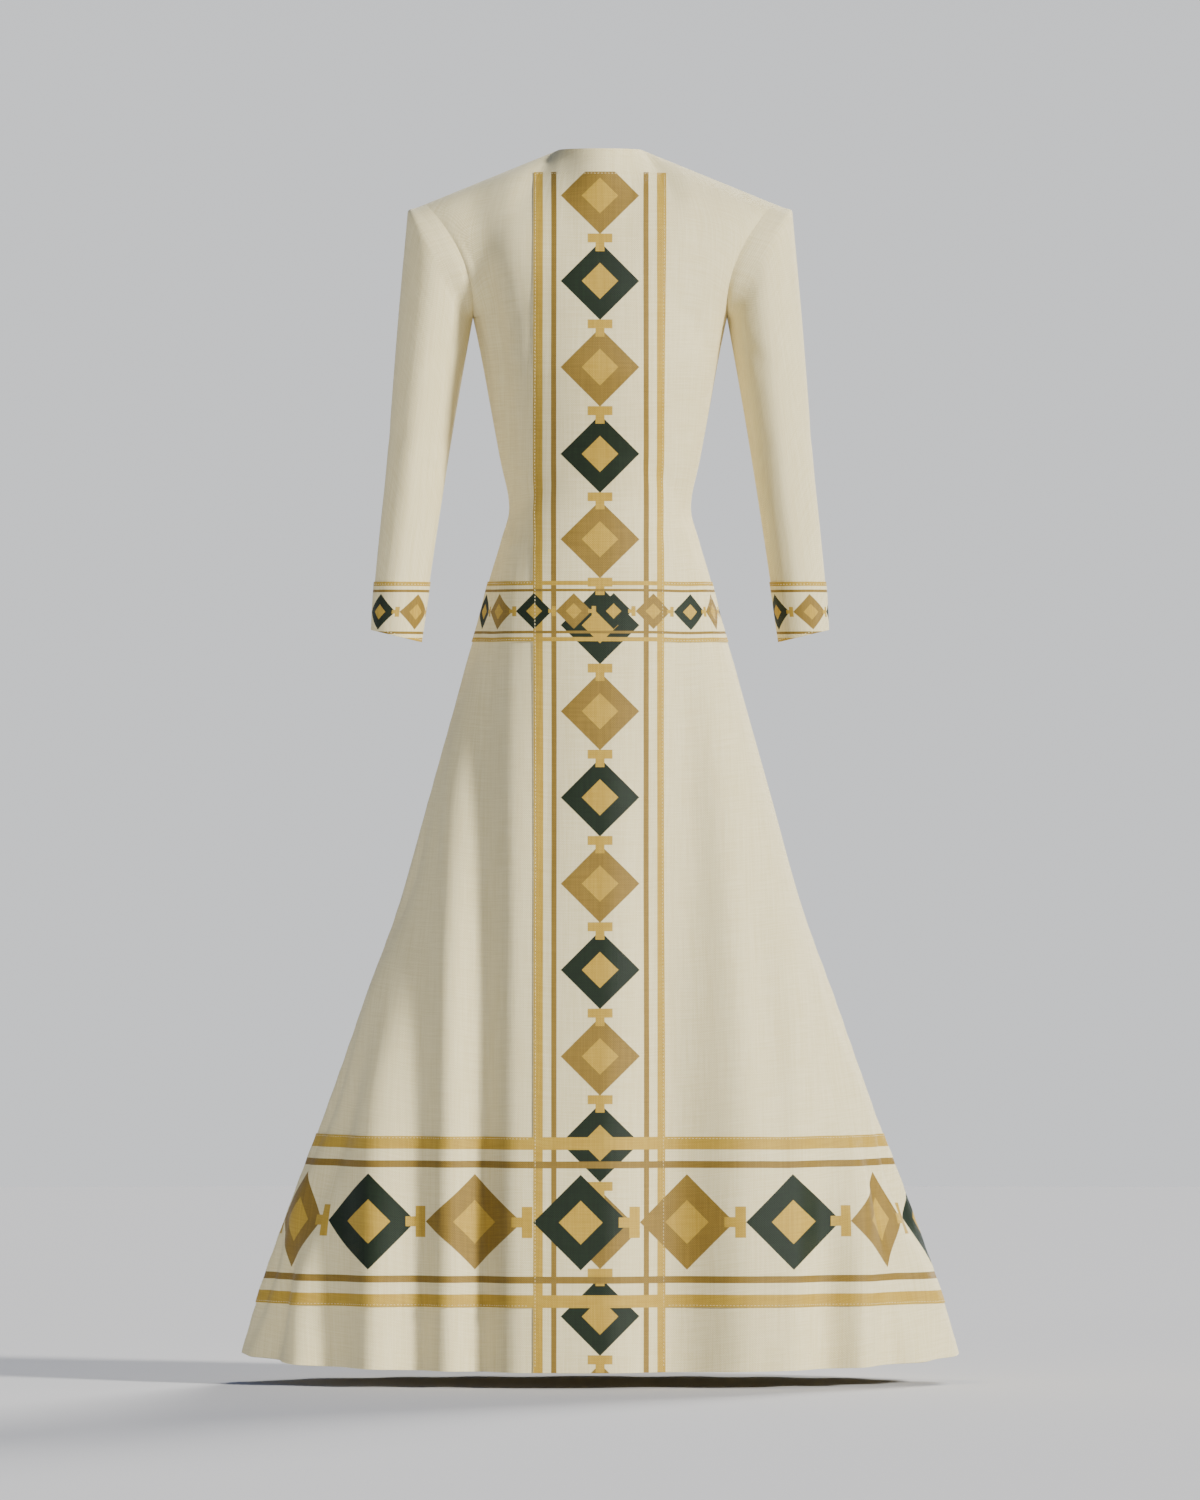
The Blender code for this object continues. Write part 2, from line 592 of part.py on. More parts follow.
def main():
    clear_scene()
    cotton = cloth_material("handwoven cotton", COTTON, 0.85)
    tibeb = cloth_material("tibeb band", TIBEB_GOLD, 0.6)
    moulded = cloth_material("moulded button", BUTTON_COLOUR, 0.45)
    grids = body_pieces(cotton, tibeb)
    sleeve_pieces(cotton, tibeb)
    neck_button(*grids["back"], moulded)


main()
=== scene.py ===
"""Looks of a habesha kemis: handwoven cotton, woven tibeb bands, stitching and a studio."""

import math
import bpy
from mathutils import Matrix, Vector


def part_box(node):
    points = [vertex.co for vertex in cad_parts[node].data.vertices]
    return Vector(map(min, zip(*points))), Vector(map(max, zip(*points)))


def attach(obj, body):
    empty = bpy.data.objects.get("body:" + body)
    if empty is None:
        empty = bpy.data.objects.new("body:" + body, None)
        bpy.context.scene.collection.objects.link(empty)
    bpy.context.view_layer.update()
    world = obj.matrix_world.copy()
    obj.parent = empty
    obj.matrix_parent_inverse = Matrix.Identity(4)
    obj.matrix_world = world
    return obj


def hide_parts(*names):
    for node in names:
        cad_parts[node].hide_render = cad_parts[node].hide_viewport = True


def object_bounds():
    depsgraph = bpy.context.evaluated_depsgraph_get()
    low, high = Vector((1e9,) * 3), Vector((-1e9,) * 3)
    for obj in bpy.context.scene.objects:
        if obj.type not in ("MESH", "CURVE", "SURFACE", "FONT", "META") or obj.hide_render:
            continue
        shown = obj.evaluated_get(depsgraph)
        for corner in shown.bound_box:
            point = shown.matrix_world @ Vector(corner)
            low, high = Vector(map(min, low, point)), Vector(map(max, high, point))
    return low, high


bl_info = {
    "name": "Habesha Kemis",
    "version": (1, 0, 0),
    "blender": (4, 5, 0),
    "location": "View3D > Sidebar > Kemis",
    "description": "Makes a hollow cotton dress with woven bands round a packed frame",
    "category": "Add Mesh",
}

from collections import namedtuple

import bpy
import numpy as np
from bpy.props import FloatProperty, FloatVectorProperty, IntProperty, PointerProperty
from mathutils import Vector

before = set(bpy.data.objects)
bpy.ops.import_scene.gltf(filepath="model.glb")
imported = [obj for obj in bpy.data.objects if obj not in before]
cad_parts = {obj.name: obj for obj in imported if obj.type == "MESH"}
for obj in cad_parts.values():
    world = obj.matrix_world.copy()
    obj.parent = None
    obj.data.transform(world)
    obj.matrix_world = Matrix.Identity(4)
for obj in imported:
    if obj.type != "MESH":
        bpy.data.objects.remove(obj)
CAD_BOX = [list(corner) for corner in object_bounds()]

# ---------------------------------------------------------------------------------------
# The dress's shape: the same sizes as its solids, in metres. +Z is up and the front faces
# -Y. The origin is the middle of the neck ring.

NECK_HALF_WIDTH = 0.048
NECK_DEPTH = {"front": 0.058, "back": 0.054}
SHOULDER_TIP_X = 0.200
SHOULDER_TIP_Z = -0.062
UNDERARM_X = 0.146
UNDERARM_Z = -0.193
ARMHOLE_HALF_DEPTH = 0.056
ARMHOLE_SCOOP = 0.016
NECK_FLARE = 0.22
NECK_EDGE_POWER = 0.5
NECK_EDGE_SOFTENING = 9.0
NECK_EDGE_POWER_MOST = 2.0
ROUND_STARTS_X = 0.030
ROUND_FROM_X = 0.110
CENTRE_BAND_TOP_Z = -0.0276
HIP_BAND_TOP_Z = -0.4967
HIP_BAND_BOTTOM_Z = -0.566
HEM_BAND_TOP_Z = -1.131
HEM_BAND_BOTTOM_Z = -1.325
HEM_SIDE_Z = -1.382
HEM_DIP = 0.017
CENTRE_BAND_HALF_WIDTH = 0.0761
PLAN_POWER = 2.3

Level = namedtuple("Level", "name z half_width front back")
BODY_LEVELS = (
    Level("chest", -0.150, 0.1560, 0.118, 0.104),
    Level("underarm", -0.193, 0.1460, 0.118, 0.104),
    Level("bust", -0.250, 0.1345, 0.122, 0.102),
    Level("under bust", -0.2875, 0.1277, 0.115, 0.098),
    Level("ribs", -0.3565, 0.1150, 0.096, 0.090),
    Level("waist", -0.4117, 0.1047, 0.086, 0.083),
    Level("above the hip band", -0.4485, 0.1139, 0.091, 0.090),
    Level("hip band top", -0.4967, 0.1282, 0.099, 0.103),
    Level("hip band middle", -0.5405, 0.1392, 0.107, 0.113),
    Level("high hip", -0.5865, 0.1530, 0.114, 0.123),
    Level("seat", -0.6325, 0.1656, 0.121, 0.131),
    Level("thigh", -0.7475, 0.1978, 0.138, 0.149),
    Level("knee", -0.8625, 0.2300, 0.154, 0.167),
    Level("below the knee", -0.9775, 0.2714, 0.170, 0.184),
    Level("calf", -1.0925, 0.3117, 0.186, 0.200),
    Level("hem band", -1.2075, 0.3542, 0.200, 0.215),
    Level("under the hem band", -1.325, 0.3960, 0.212, 0.228),
    Level("hem", -1.382, 0.4129, 0.217, 0.233),
)

# Soft upright troughs, with the depth of each at four heights, fading out above the chest.
# The table of heights goes from the hem up.
Fold = namedtuple("Fold", "place half_width chest hip knee hem")
FOLDS = {
    "front": (
        Fold(-0.385, 0.040, 0, 0, 0, 0.016),
        Fold(-0.310, 0.048, 0, 0, 0, 0.023),
        Fold(-0.214, 0.052, 0, 0.001, 0.012, 0.028),
        Fold(-0.141, 0.046, 0.004, 0.006, 0.021, 0.030),
        Fold(0.088, 0.085, 0.003, 0.006, 0.022, 0.028),
        Fold(0.266, 0.048, 0, 0, 0.002, 0.027),
        Fold(0.344, 0.050, 0, 0, 0, 0.028),
    ),
    "back": (
        Fold(-0.360, 0.048, 0, 0, 0, 0.020),
        Fold(-0.262, 0.050, 0, 0, 0.004, 0.024),
        Fold(-0.176, 0.044, 0, 0, 0.008, 0.022),
        Fold(-0.078, 0.056, 0.003, 0.004, 0.020, 0.028),
        Fold(0.070, 0.050, 0.003, 0.004, 0.018, 0.024),
        Fold(0.166, 0.048, 0, 0, 0.009, 0.026),
        Fold(0.258, 0.046, 0, 0, 0.005, 0.022),
        Fold(0.354, 0.052, 0, 0, 0, 0.024),
    ),
}
SIDE_FOLDS = (
    Fold(-0.078, 0.038, 0, 0, 0.004, 0.013),
    Fold(0.088, 0.040, 0, 0, 0.004, 0.014),
)
FOLD_HEIGHTS = {"hem": HEM_SIDE_Z, "knee": -0.880, "hip": -0.530, "chest": -0.170}
FOLDS_END_Z = -0.040
FOLD_EDGE_FADE = 0.028
SIDE_FOLDS_START_X = 0.20
SIDE_FOLDS_FULL_X = 0.30

Edge = namedtuple("Edge", "z x")
SLEEVE_OUTER = (Edge(-0.070, 0.2210), Edge(-0.1955, 0.2323), Edge(-0.3565, 0.2450),
                Edge(-0.5175, 0.2605), Edge(-0.552, 0.2622))
SLEEVE_INNER = (Edge(-0.193, 0.1460), Edge(-0.3105, 0.1668), Edge(-0.4255, 0.1852),
                Edge(-0.5658, 0.2059))

Ring = namedtuple("Ring", "outer_z inner_z half_depth")
SLEEVE_RINGS = (
    Ring(-0.082, -0.2065, 0.0580),
    Ring(-0.110, -0.2180, 0.0580),
    Ring(-0.150, -0.2400, 0.0565),
    Ring(-0.200, -0.2720, 0.0535),
    Ring(-0.255, -0.3120, 0.0495),
    Ring(-0.315, -0.3570, 0.0455),
    Ring(-0.375, -0.4020, 0.0415),
    Ring(-0.435, -0.4470, 0.0375),
    Ring(HIP_BAND_TOP_Z, HIP_BAND_TOP_Z, 0.0345),
    Ring(-0.5244, -0.5312, 0.0332),
    Ring(-0.552, -0.5658, 0.0320),
)
SLEEVE_CORNER = Edge(-0.0702, 0.2208)
CORNER_INNER_DROP = (0.0028, 0.0070)
CUFF_BAND_RING = 11
CORNER_RINGS = 3
SLEEVE_FOLDS_GROW = 6.0
SLEEVE_FOLDS_FADE = 4.0

SleeveFold = namedtuple("SleeveFold", "side angle half_angle depth")
SLEEVE_FOLDS = (
    SleeveFold(-1, 112.0, 44.0, 0.0040),
    SleeveFold(1, 66.0, 40.0, 0.0035),
    SleeveFold(-1, 262.0, 46.0, 0.0035),
    SleeveFold(1, 284.0, 46.0, 0.0040),
)

# Smaller creases of each piece. Each is a soft bell-shaped trough: its middle (distance round
# from the centre line, height), its length and width, its depth and how far it leans.
Crease = namedtuple("Crease", "across z length width depth lean")
CREASES = {
    "front": (
        Crease(-0.088, -0.405, 0.050, 0.010, 0.0016, 62.0),
        Crease(0.090, -0.392, 0.056, 0.011, 0.0018, -58.0),
        Crease(-0.100, -0.436, 0.046, 0.010, 0.0013, 112.0),
        Crease(0.098, -0.430, 0.044, 0.010, 0.0014, -114.0),
        Crease(-0.118, -0.220, 0.052, 0.012, 0.0018, 38.0),
        Crease(0.120, -0.214, 0.050, 0.012, 0.0018, -40.0),
        Crease(-0.124, -0.235, 0.170, 0.021, 0.0095, -7.0),
        Crease(-0.134, -0.650, 0.100, 0.016, 0.0040, 3.0),
        Crease(-0.204, -0.780, 0.120, 0.018, 0.0040, -6.0),
        Crease(-0.062, -0.780, 0.180, 0.018, 0.0022, 3.0),
        Crease(0.104, -0.700, 0.240, 0.026, 0.0070, -3.0),
        Crease(0.190, -0.960, 0.200, 0.026, 0.0060, -7.0),
        Crease(0.100, -0.230, 0.150, 0.026, 0.0045, 2.0),
        Crease(0.052, -0.860, 0.160, 0.016, 0.0018, -2.0),
        Crease(0.196, -0.980, 0.170, 0.018, 0.0022, -4.0),
    ),
    "back": (
        Crease(-0.080, -0.400, 0.060, 0.011, 0.0018, 70.0),
        Crease(0.078, -0.408, 0.056, 0.011, 0.0018, -66.0),
        Crease(-0.115, -0.205, 0.055, 0.012, 0.0020, 34.0),
        Crease(0.112, -0.210, 0.055, 0.012, 0.0020, -36.0),
        Crease(0.030, -0.820, 0.190, 0.018, 0.0022, 2.0),
        Crease(-0.150, -0.930, 0.180, 0.018, 0.0022, 4.0),
    ),
    "sleeve": (
        Crease(0.030, -0.338, 0.024, 0.009, 0.0018, 74.0),
        Crease(0.022, -0.366, 0.022, 0.008, 0.0015, 96.0),
        Crease(-0.040, -0.330, 0.026, 0.010, 0.0016, -80.0),
        Crease(0.026, -0.236, 0.030, 0.011, 0.0018, 48.0),
    ),
}

# The hand of the cloth: long shallow waves, by their radians a metre across and up, where
# each starts and how high it is.
Ripple = namedtuple("Ripple", "across up start height")
RIPPLES = (
    Ripple(21.0, 4.0, 0.3, 0.00045),
    Ripple(-13.0, 9.0, 1.9, 0.00040),
    Ripple(37.0, -6.0, 4.1, 0.00028),
    Ripple(52.0, 15.0, 2.6, 0.00016),
)

# ---------------------------------------------------------------------------------------
# Sizes of what is woven and sewn, in metres.

CLOTH = 0.0011
HEM_TURN = 0.0009
BAND_CLOTH = 0.0009
BAND_LIFT = 0.0004
SEAM_GAP = 0.00008
SEAM_DIP = 0.0006
PUCKER_SHARE = 0.45
PUCKER_LENGTH = 0.031
SLIT_OPENING = 0.0011
SLIT_LENGTH = 0.095
SLIT_SEAM_FADE = 0.03

# Which way along X each of the wearer's hands is, and the top and bottom of the bands that go
# round the skirt.
HANDS = {"left": 1, "right": -1}
BANDS = {"hip": (HIP_BAND_TOP_Z, HIP_BAND_BOTTOM_Z), "hem": (HEM_BAND_TOP_Z, HEM_BAND_BOTTOM_Z)}

# The flat size that each piece is cut to, and a shaped piece's own area.
Cut = namedtuple("Cut", "width length area")

# The grids' columns and rows, and over how many of them creases grow in from an edge, a seam
# draws cloth in and a turned hem ends. Edges of over SHARP_TURN degrees are shaded as sharp.
INNER_COLUMNS = 18
OUTER_COLUMNS = 62
MIDDLE_COLUMN = INNER_COLUMNS + OUTER_COLUMNS
ROW_STEP = 0.0072
YOKE_ROWS = 34
SLEEVE_COLUMNS = 72
CORNER_ROWS = 14
ARM_ROWS = 42
CUFF_ROWS = 12
CREASES_GROW = 8.0
CREASES_GROW_FROM_NECK = 10.0
SEAM_SPREAD_SQUARED = 1.4
SEAM_STARTS = 6.0
BODY_TURN_ROWS = 4
SLEEVE_TURN_ROWS = 3
TURN_ENDS = 2.0
SHARP_TURN = 60.0

# Where the pattern goes over from the plain width to the way round the side, as shares of the
# half width.
PLAIN_SHARE = 0.74
TURNING_SHARE = 0.14

# A frieze is a row of diamonds between two thick and two thin stripes, with a small cross
# in each gap. It starts at a green diamond. Its sizes are half sizes and distances from its
# middle line.
Frieze = namedtuple("Frieze", "upright start period diamond heart bar bar_reach arm arm_reach "
                              "thick_at thick thin_at thin middle")
CENTRE_FRIEZE = Frieze(True, -0.1538, 0.0984, 0.0449, 0.0207, 0.0049, 0.0144, 0.0052, 0.0150,
                       0.0706, 0.0055, 0.0525, 0.0032, 0.0)
HIP_FRIEZE = Frieze(False, 0.0155, 0.04525, 0.0206, 0.0090, 0.0023, 0.0060, 0.0021, 0.0062,
                    0.0321, 0.0026, 0.0241, 0.0013, -0.5313)
HEM_FRIEZE = Frieze(False, -0.0219, 0.1213, 0.0545, 0.0251, 0.0060, 0.0178, 0.0060, 0.0179,
                    0.0896, 0.0072, 0.0653, 0.0038, -1.2281)

# The friezes of each band's cloth, in the order that they are laid in.
TIBEBS = {
    "centre front": (CENTRE_FRIEZE, HIP_FRIEZE, HEM_FRIEZE),
    "hip": (HIP_FRIEZE,),
    "hem": (HEM_FRIEZE,),
    "left cuff": (HIP_FRIEZE._replace(start=-0.0340),),
    "right cuff": (HIP_FRIEZE._replace(start=-0.0240),),
}

# The weave, and its slubs: thick places in the handspun thread, by how far each kind reaches
# across and down and where its noise starts. SLUB_RANGE is the noise from which threads are
# shaded to light, and the heights are in the weave's own. MATT and SILKY are roughnesses.
THREAD = 0.0012
PATTERN_STEP = THREAD / 2
Slub = namedtuple("Slub", "across down start")
SLUBS = (Slub(0.045, 0.0016, 0.0), Slub(0.0016, 0.060, 3.7))
SLUB_RANGE = (0.8, 1.25)
COTTON_SLUB_HEIGHT = 1.6
TIBEB_SLUB_HEIGHT = 1.2
INLAY_HEIGHT = 1.5
MATT = 0.86
SILKY = 0.55

# Stitching. The grain of a stitch is thick in its middle, and thin and sunk at its ends: its
# heights and widths are in thread radii. STITCH_BEATS are unlike, so that no two stitches
# match in length or in how far each end is to one side.
STITCH_INSET = 0.0022
STITCH_STEP = 0.5
STITCH_UNEVEN = 0.12
STITCH_ASIDE = 0.5
STITCH_BEATS = (7.3, 5.1, 3.7)
Grain = namedtuple("Grain", "along height width")
GRAIN = (Grain(0.0, -0.5, 0.4), Grain(0.25, 0.35, 1.0), Grain(0.75, 0.35, 1.0),
         Grain(1.0, -0.5, 0.4))
SIDE_CLEAR = 0.3
MIDDLE_CLEAR = {"front": INNER_COLUMNS + SIDE_CLEAR, "back": 0.4}
CUFF_CLEAR = 0.4
HEM_STITCH_RISE = 0.015
NECK_STITCH_DROPS = (0.0024, 0.0090)
NECK_STITCH_START_X = {"front": 0.0, "back": 0.0015}
NECK_STITCH_END_X = 0.9 * NECK_HALF_WIDTH
NECK_STITCH_POINTS = 30
SLIT_STITCH_X = 0.0042
SLIT_STITCH_POINTS = 40

# The button, the cross of thread on it and the loop round it.
BUTTON_RADIUS = 0.0058
BUTTON_THICKNESS = 0.0026
CROSS_REACH = 0.24 * BUTTON_RADIUS
LOOP_RADIUS = 0.0006
CROSS_RADIUS = 0.6 * LOOP_RADIUS
LOOP_TURN = 158.0
LOOP_POINTS = 41
LOOP_ENDS_X = (-0.0016, 0.0004)
TUBE_SIDES = 8
TUBE_TIP = 0.05

# Studio lights: two suns, and a narrow softbox that brightens the wearer's right.
Sun = namedtuple("Sun", "name turn lift spread power")
SUNS = (Sun("key", 52.0, 22.0, 8.0, 6.6), Sun("back", 158.0, 30.0, 16.0, 4.0))
SOFTBOX_PLACE = (-1.2, -2.2, -0.5)
SOFTBOX_AIM = (-0.40, 0.0, -0.75)
SOFTBOX_SIZE = (0.5, 1.8)
SOFTBOX_SPREAD = 20.0
SOFTBOX_POWER = 1.7

# The world's colours, and between which heights one goes over to the other. The floor's rings
# are an even spacing to the power FLOOR_CROWDING.
SKY_BELOW = "#F1F3F6"
SKY_ABOVE = "#475C88"
SKY_CHANGES = (0.04, 0.09)
FLOOR_SIDES = 96
FLOOR_CROWDING = 1.6
VIEW_END = 100.0


def srgb(code):
    """A hex sRGB colour as linear red, green, blue and alpha."""
    parts = np.array([int(code[i:i + 2], 16) for i in (1, 3, 5)]) / 255.0
    linear = np.where(parts <= 0.04045, parts / 12.92, ((parts + 0.055) / 1.055) ** 2.4)
    return (*linear.tolist(), 1.0)


# ---------------------------------------------------------------------------------------
# Curves and surfaces, worked out as whole arrays.

def ease(share):
    """A smooth step from 0 to 1, flat at both ends: 3 s squared less 2 s cubed."""
    share = np.clip(share, 0.0, 1.0)
    return share * share * (3.0 - 2.0 * share)


def unit(vectors):
    """Vectors divided by their own lengths."""
    return vectors / np.maximum(np.linalg.norm(vectors, axis=-1, keepdims=True), 1e-12)


def cubic(share, low, high, low_slope, high_slope):
    """A cubic curve from low to high that leaves and arrives at given slopes: with s the
    share of the way, (1 + 2 s)(1 - s)^2 low + s^2 (3 - 2 s) high + s (1 - s)^2 low slope
    - s^2 (1 - s) high slope."""
    left = 1.0 - share
    return ((1.0 + 2.0 * share) * left ** 2 * low + share * left ** 2 * low_slope
            + share ** 2 * (3.0 - 2.0 * share) * high - share ** 2 * left * high_slope)


def curve_through(places, values, at):
    """A cubic curve through a table that never overshoots it: each row's slope is the
    harmonic mean of the slopes on either side, or zero where they differ in sign."""
    order = np.argsort(places)
    places = np.asarray(places, dtype=float)[order]
    values = np.asarray(values, dtype=float)[order]
    steps = np.diff(places)
    chords = np.diff(values) / steps
    slopes = np.zeros(len(values))
    slopes[0], slopes[-1] = chords[0], chords[-1]
    same_way = chords[:-1] * chords[1:] > 0.0
    both = chords[:-1] + chords[1:]
    slopes[1:-1][same_way] = 2.0 * (chords[:-1] * chords[1:])[same_way] / both[same_way]
    at = np.clip(np.asarray(at, dtype=float), places[0], places[-1])
    cell = np.clip(np.searchsorted(places, at, side="right") - 1, 0, len(steps) - 1)
    share = (at - places[cell]) / steps[cell]
    return cubic(share, values[cell], values[cell + 1], steps[cell] * slopes[cell],
                 steps[cell] * slopes[cell + 1])


def body_measure(column, z):
    """One column of the body's table of levels, at any heights."""
    return curve_through([level.z for level in BODY_LEVELS],
                         [getattr(level, column) for level in BODY_LEVELS], z)


def plan_depth(x, reference, depth):
    """The plan's superellipse: depth times (1 - (x / reference)^p)^(1/p)."""
    share = np.clip(np.abs(x) / reference, 0.0, 1.0)
    return depth * (1.0 - share ** PLAN_POWER) ** (1.0 / PLAN_POWER)


def column_places(reference, edge):
    """The x of each column, row by row: even steps out to the centre band's edge, then even
    steps of the angle whose sine is x over the reference width."""
    start = np.arcsin(CENTRE_BAND_HALF_WIDTH / reference)
    end = np.arcsin(np.minimum(1.0, edge / reference))
    share = np.arange(1, OUTER_COLUMNS + 1) / OUTER_COLUMNS
    outer = reference * np.sin(start + (end - start) * share)
    inner = np.linspace(0.0, CENTRE_BAND_HALF_WIDTH, INNER_COLUMNS + 1)
    half = np.concatenate((np.broadcast_to(inner, (len(outer), len(inner))), outer), axis=1)
    return np.concatenate((-half[:, :0:-1], half), axis=1)


def trough(place, middle, half_width):
    """How much of a fold's depth a place has: the squared cosine of its distance from the
    fold's middle, which is a quarter turn at the half width and stays there beyond it."""
    off = np.clip((place - middle) / half_width, -1.0, 1.0)
    return np.cos(off * math.pi / 2) ** 2


def fold_depth(side, x, y, z, edge_y):
    """How far the cloth is drawn in: a sum of cosine-squared troughs, each with its own
    depth at each height, fading out at the panel's edge."""
    heights = [*FOLD_HEIGHTS.values(), FOLDS_END_Z]
    total = np.zeros_like(x)
    beside = ease((np.abs(x) - SIDE_FOLDS_START_X) / (SIDE_FOLDS_FULL_X - SIDE_FOLDS_START_X))
    for fold, place, weight in ([(fold, x, 1.0) for fold in FOLDS[side]]
                                + [(fold, y, beside) for fold in SIDE_FOLDS]):
        depths = [getattr(fold, name) for name in FOLD_HEIGHTS] + [0.0]
        total += (np.interp(z, heights, depths) * weight
                  * trough(place, fold.place, fold.half_width))
    return total * ease((np.abs(y) - edge_y) / FOLD_EDGE_FADE)


def draw_in(side, x, y, z, edge_y, reference, depth):
    """Moves points inwards by the fold depth, along the normal of the plan's superellipse."""
    drop = fold_depth(side, x, y, z, edge_y)
    normal_x = (np.abs(x) / reference) ** (PLAN_POWER - 1) / reference
    normal_y = np.clip(np.abs(y) / depth, 0.0, 1.0) ** (PLAN_POWER - 1) / depth
    length = np.hypot(normal_x, normal_y)
    return (x - np.sign(x) * drop * normal_x / length, y - np.sign(y) * drop * normal_y / length)


def armhole_seam(share):
    """The armhole at shares of its height, as x, y and z: an oval whose angle is the arc
    cosine of 1 - 2 share, scooped in at its middle."""
    turn = np.arccos(1.0 - 2.0 * share)
    x = (0.5 * (SHOULDER_TIP_X + UNDERARM_X)
         + 0.5 * (SHOULDER_TIP_X - UNDERARM_X) * np.cos(turn)
         - ARMHOLE_SCOOP * np.sin(turn) ** 2)
    y = ARMHOLE_HALF_DEPTH * np.sin(turn)
    z = SHOULDER_TIP_Z * (1.0 - share) + UNDERARM_Z * share
    return x, y, z


def yoke(side, share):
    """Rows between the shoulder seam and the underarm, and how far round each point is.

    Going down from the seam, the depth grows from the neck's oval to the plan's
    superellipse: by the sine of a quarter turn by the neck, and as a quarter circle does by
    the shoulder's tip.
    """
    way = -1.0 if side == "front" else 1.0
    share = share[:, None]
    edge_x, edge_y, _ = armhole_seam(share)
    depth = float(body_measure(side, UNDERARM_Z))
    unrounded_edge = 2.0 * ARMHOLE_HALF_DEPTH * np.sqrt((1.0 - share) / (2.0 - share))
    reference = edge_x / (1.0 - (unrounded_edge / depth) ** PLAN_POWER) ** (1.0 / PLAN_POWER)
    x = column_places(reference, edge_x)
    beyond_neck = np.clip((np.abs(x) - NECK_HALF_WIDTH) / (edge_x - NECK_HALF_WIDTH), 0, 1)
    beyond_band = np.clip((np.abs(x) - CENTRE_BAND_HALF_WIDTH)
                          / (edge_x - CENTRE_BAND_HALF_WIDTH), 0.0, 1.0)
    levelled = np.minimum(1.0, share / (CENTRE_BAND_TOP_Z / UNDERARM_Z))
    slant = beyond_neck * (1.0 - levelled) + beyond_band * levelled
    z = UNDERARM_Z * share + SHOULDER_TIP_Z * (1.0 - share) * slant
    top_z = SHOULDER_TIP_Z * beyond_neck
    down = np.clip((top_z - z) / (top_z - UNDERARM_Z), 0.0, 1.0)
    turned = ease((np.abs(x) - ROUND_STARTS_X) / (ROUND_FROM_X - ROUND_STARTS_X))
    rounding = ((1.0 - turned) * np.sin(down * math.pi / 2)
                + turned * np.sqrt(down * (2.0 - down)))
    neck_share = np.clip(np.abs(x) / (NECK_HALF_WIDTH + NECK_FLARE * down), 0.0, 1.0)
    edge_power = np.minimum(NECK_EDGE_POWER + NECK_EDGE_SOFTENING * down, NECK_EDGE_POWER_MOST)
    neck = NECK_DEPTH[side] * (1.0 - neck_share ** 2) ** edge_power
    y = way * (neck + (plan_depth(x, reference, depth) - neck) * rounding)
    drawn_x, drawn_y = draw_in(side, x, y, z, edge_y, reference, depth)
    round_from_middle = distance_round(x, y, drawn_x, reference)
    return np.stack((drawn_x, drawn_y + way * SEAM_GAP / 2, z), axis=-1), round_from_middle


def levels_below(side, z):
    """Rows at levels below the underarm, and how far round each point is. Under the hem
    band the rows dip more and more towards the middle, as the hem does."""
    way = -1.0 if side == "front" else 1.0
    z = z[:, None]
    reference = body_measure("half_width", z)
    depth = body_measure(side, z)
    x = column_places(reference, reference)
    y = way * plan_depth(x, reference, depth)
    below = np.clip((HEM_BAND_BOTTOM_Z - z) / (HEM_BAND_BOTTOM_Z - HEM_SIDE_Z), 0.0, 1.0)
    heights = z - HEM_DIP * below * np.abs(y) / depth
    drawn_x, drawn_y = draw_in(side, x, y, z + np.zeros_like(x), 0.0, reference, depth)
    round_from_middle = distance_round(x, y, drawn_x, reference)
    return (np.stack((drawn_x, drawn_y + way * SEAM_GAP / 2, heights), axis=-1), round_from_middle)


def distance_round(x, y, drawn_x, reference):
    """How far round the plan each point is from the middle column: the folded cloth's x, and,
    where the unfolded plan turns to the side, what each step round it is longer than its x."""
    step_x, step_y = np.diff(x, axis=1), np.diff(y, axis=1)
    middle_x = 0.5 * np.abs(x[:, 1:] + x[:, :-1])
    turning = ease((middle_x / reference - PLAIN_SHARE) / TURNING_SHARE)
    extra = (np.hypot(step_x, step_y) - np.abs(step_x)) * turning
    right = np.cumsum(extra[:, MIDDLE_COLUMN:], axis=1)
    left = -np.cumsum(extra[:, :MIDDLE_COLUMN][:, ::-1], axis=1)[:, ::-1]
    return drawn_x + np.concatenate((left, np.zeros((len(x), 1)), right), axis=1)


def crease_depth(piece, across, z):
    """A sum of bells: each is exp(-(a / length)^2 - (b / width)^2), with a along the crease
    and b across it."""
    total = np.zeros_like(across)
    for crease in CREASES[piece]:
        lean = math.radians(crease.lean)
        off_x, off_z = across - crease.across, z - crease.z
        along = off_x * math.sin(lean) + off_z * math.cos(lean)
        beside = off_x * math.cos(lean) - off_z * math.sin(lean)
        total += crease.depth * np.exp(-(along / crease.length) ** 2
                                       - (beside / crease.width) ** 2)
    return total


def ripple(across, z):
    """The hand of the cloth: a sum of long shallow sines of unlike lengths and directions."""
    return sum(wave.height * np.sin(wave.across * across + wave.up * z + wave.start)
               for wave in RIPPLES)


def seam_dip(columns_off, z, sewn):
    """How far cloth is drawn in by a seam: a bell across it, which rises and falls along it
    as a sine, because stitches pucker the cloth."""
    puckers = 1.0 + PUCKER_SHARE * np.sin(2.0 * math.pi * z / PUCKER_LENGTH)
    return SEAM_DIP * puckers * np.exp(-columns_off ** 2 / SEAM_SPREAD_SQUARED) * sewn


def lengths_along(grid, axis, start):
    """Distance along each grid line from a start index, in the folded cloth."""
    steps = np.linalg.norm(np.diff(grid, axis=axis), axis=-1)
    total = np.insert(np.cumsum(steps, axis=axis), 0, 0.0, axis=axis)
    return total - np.take(total, [start], axis=axis)


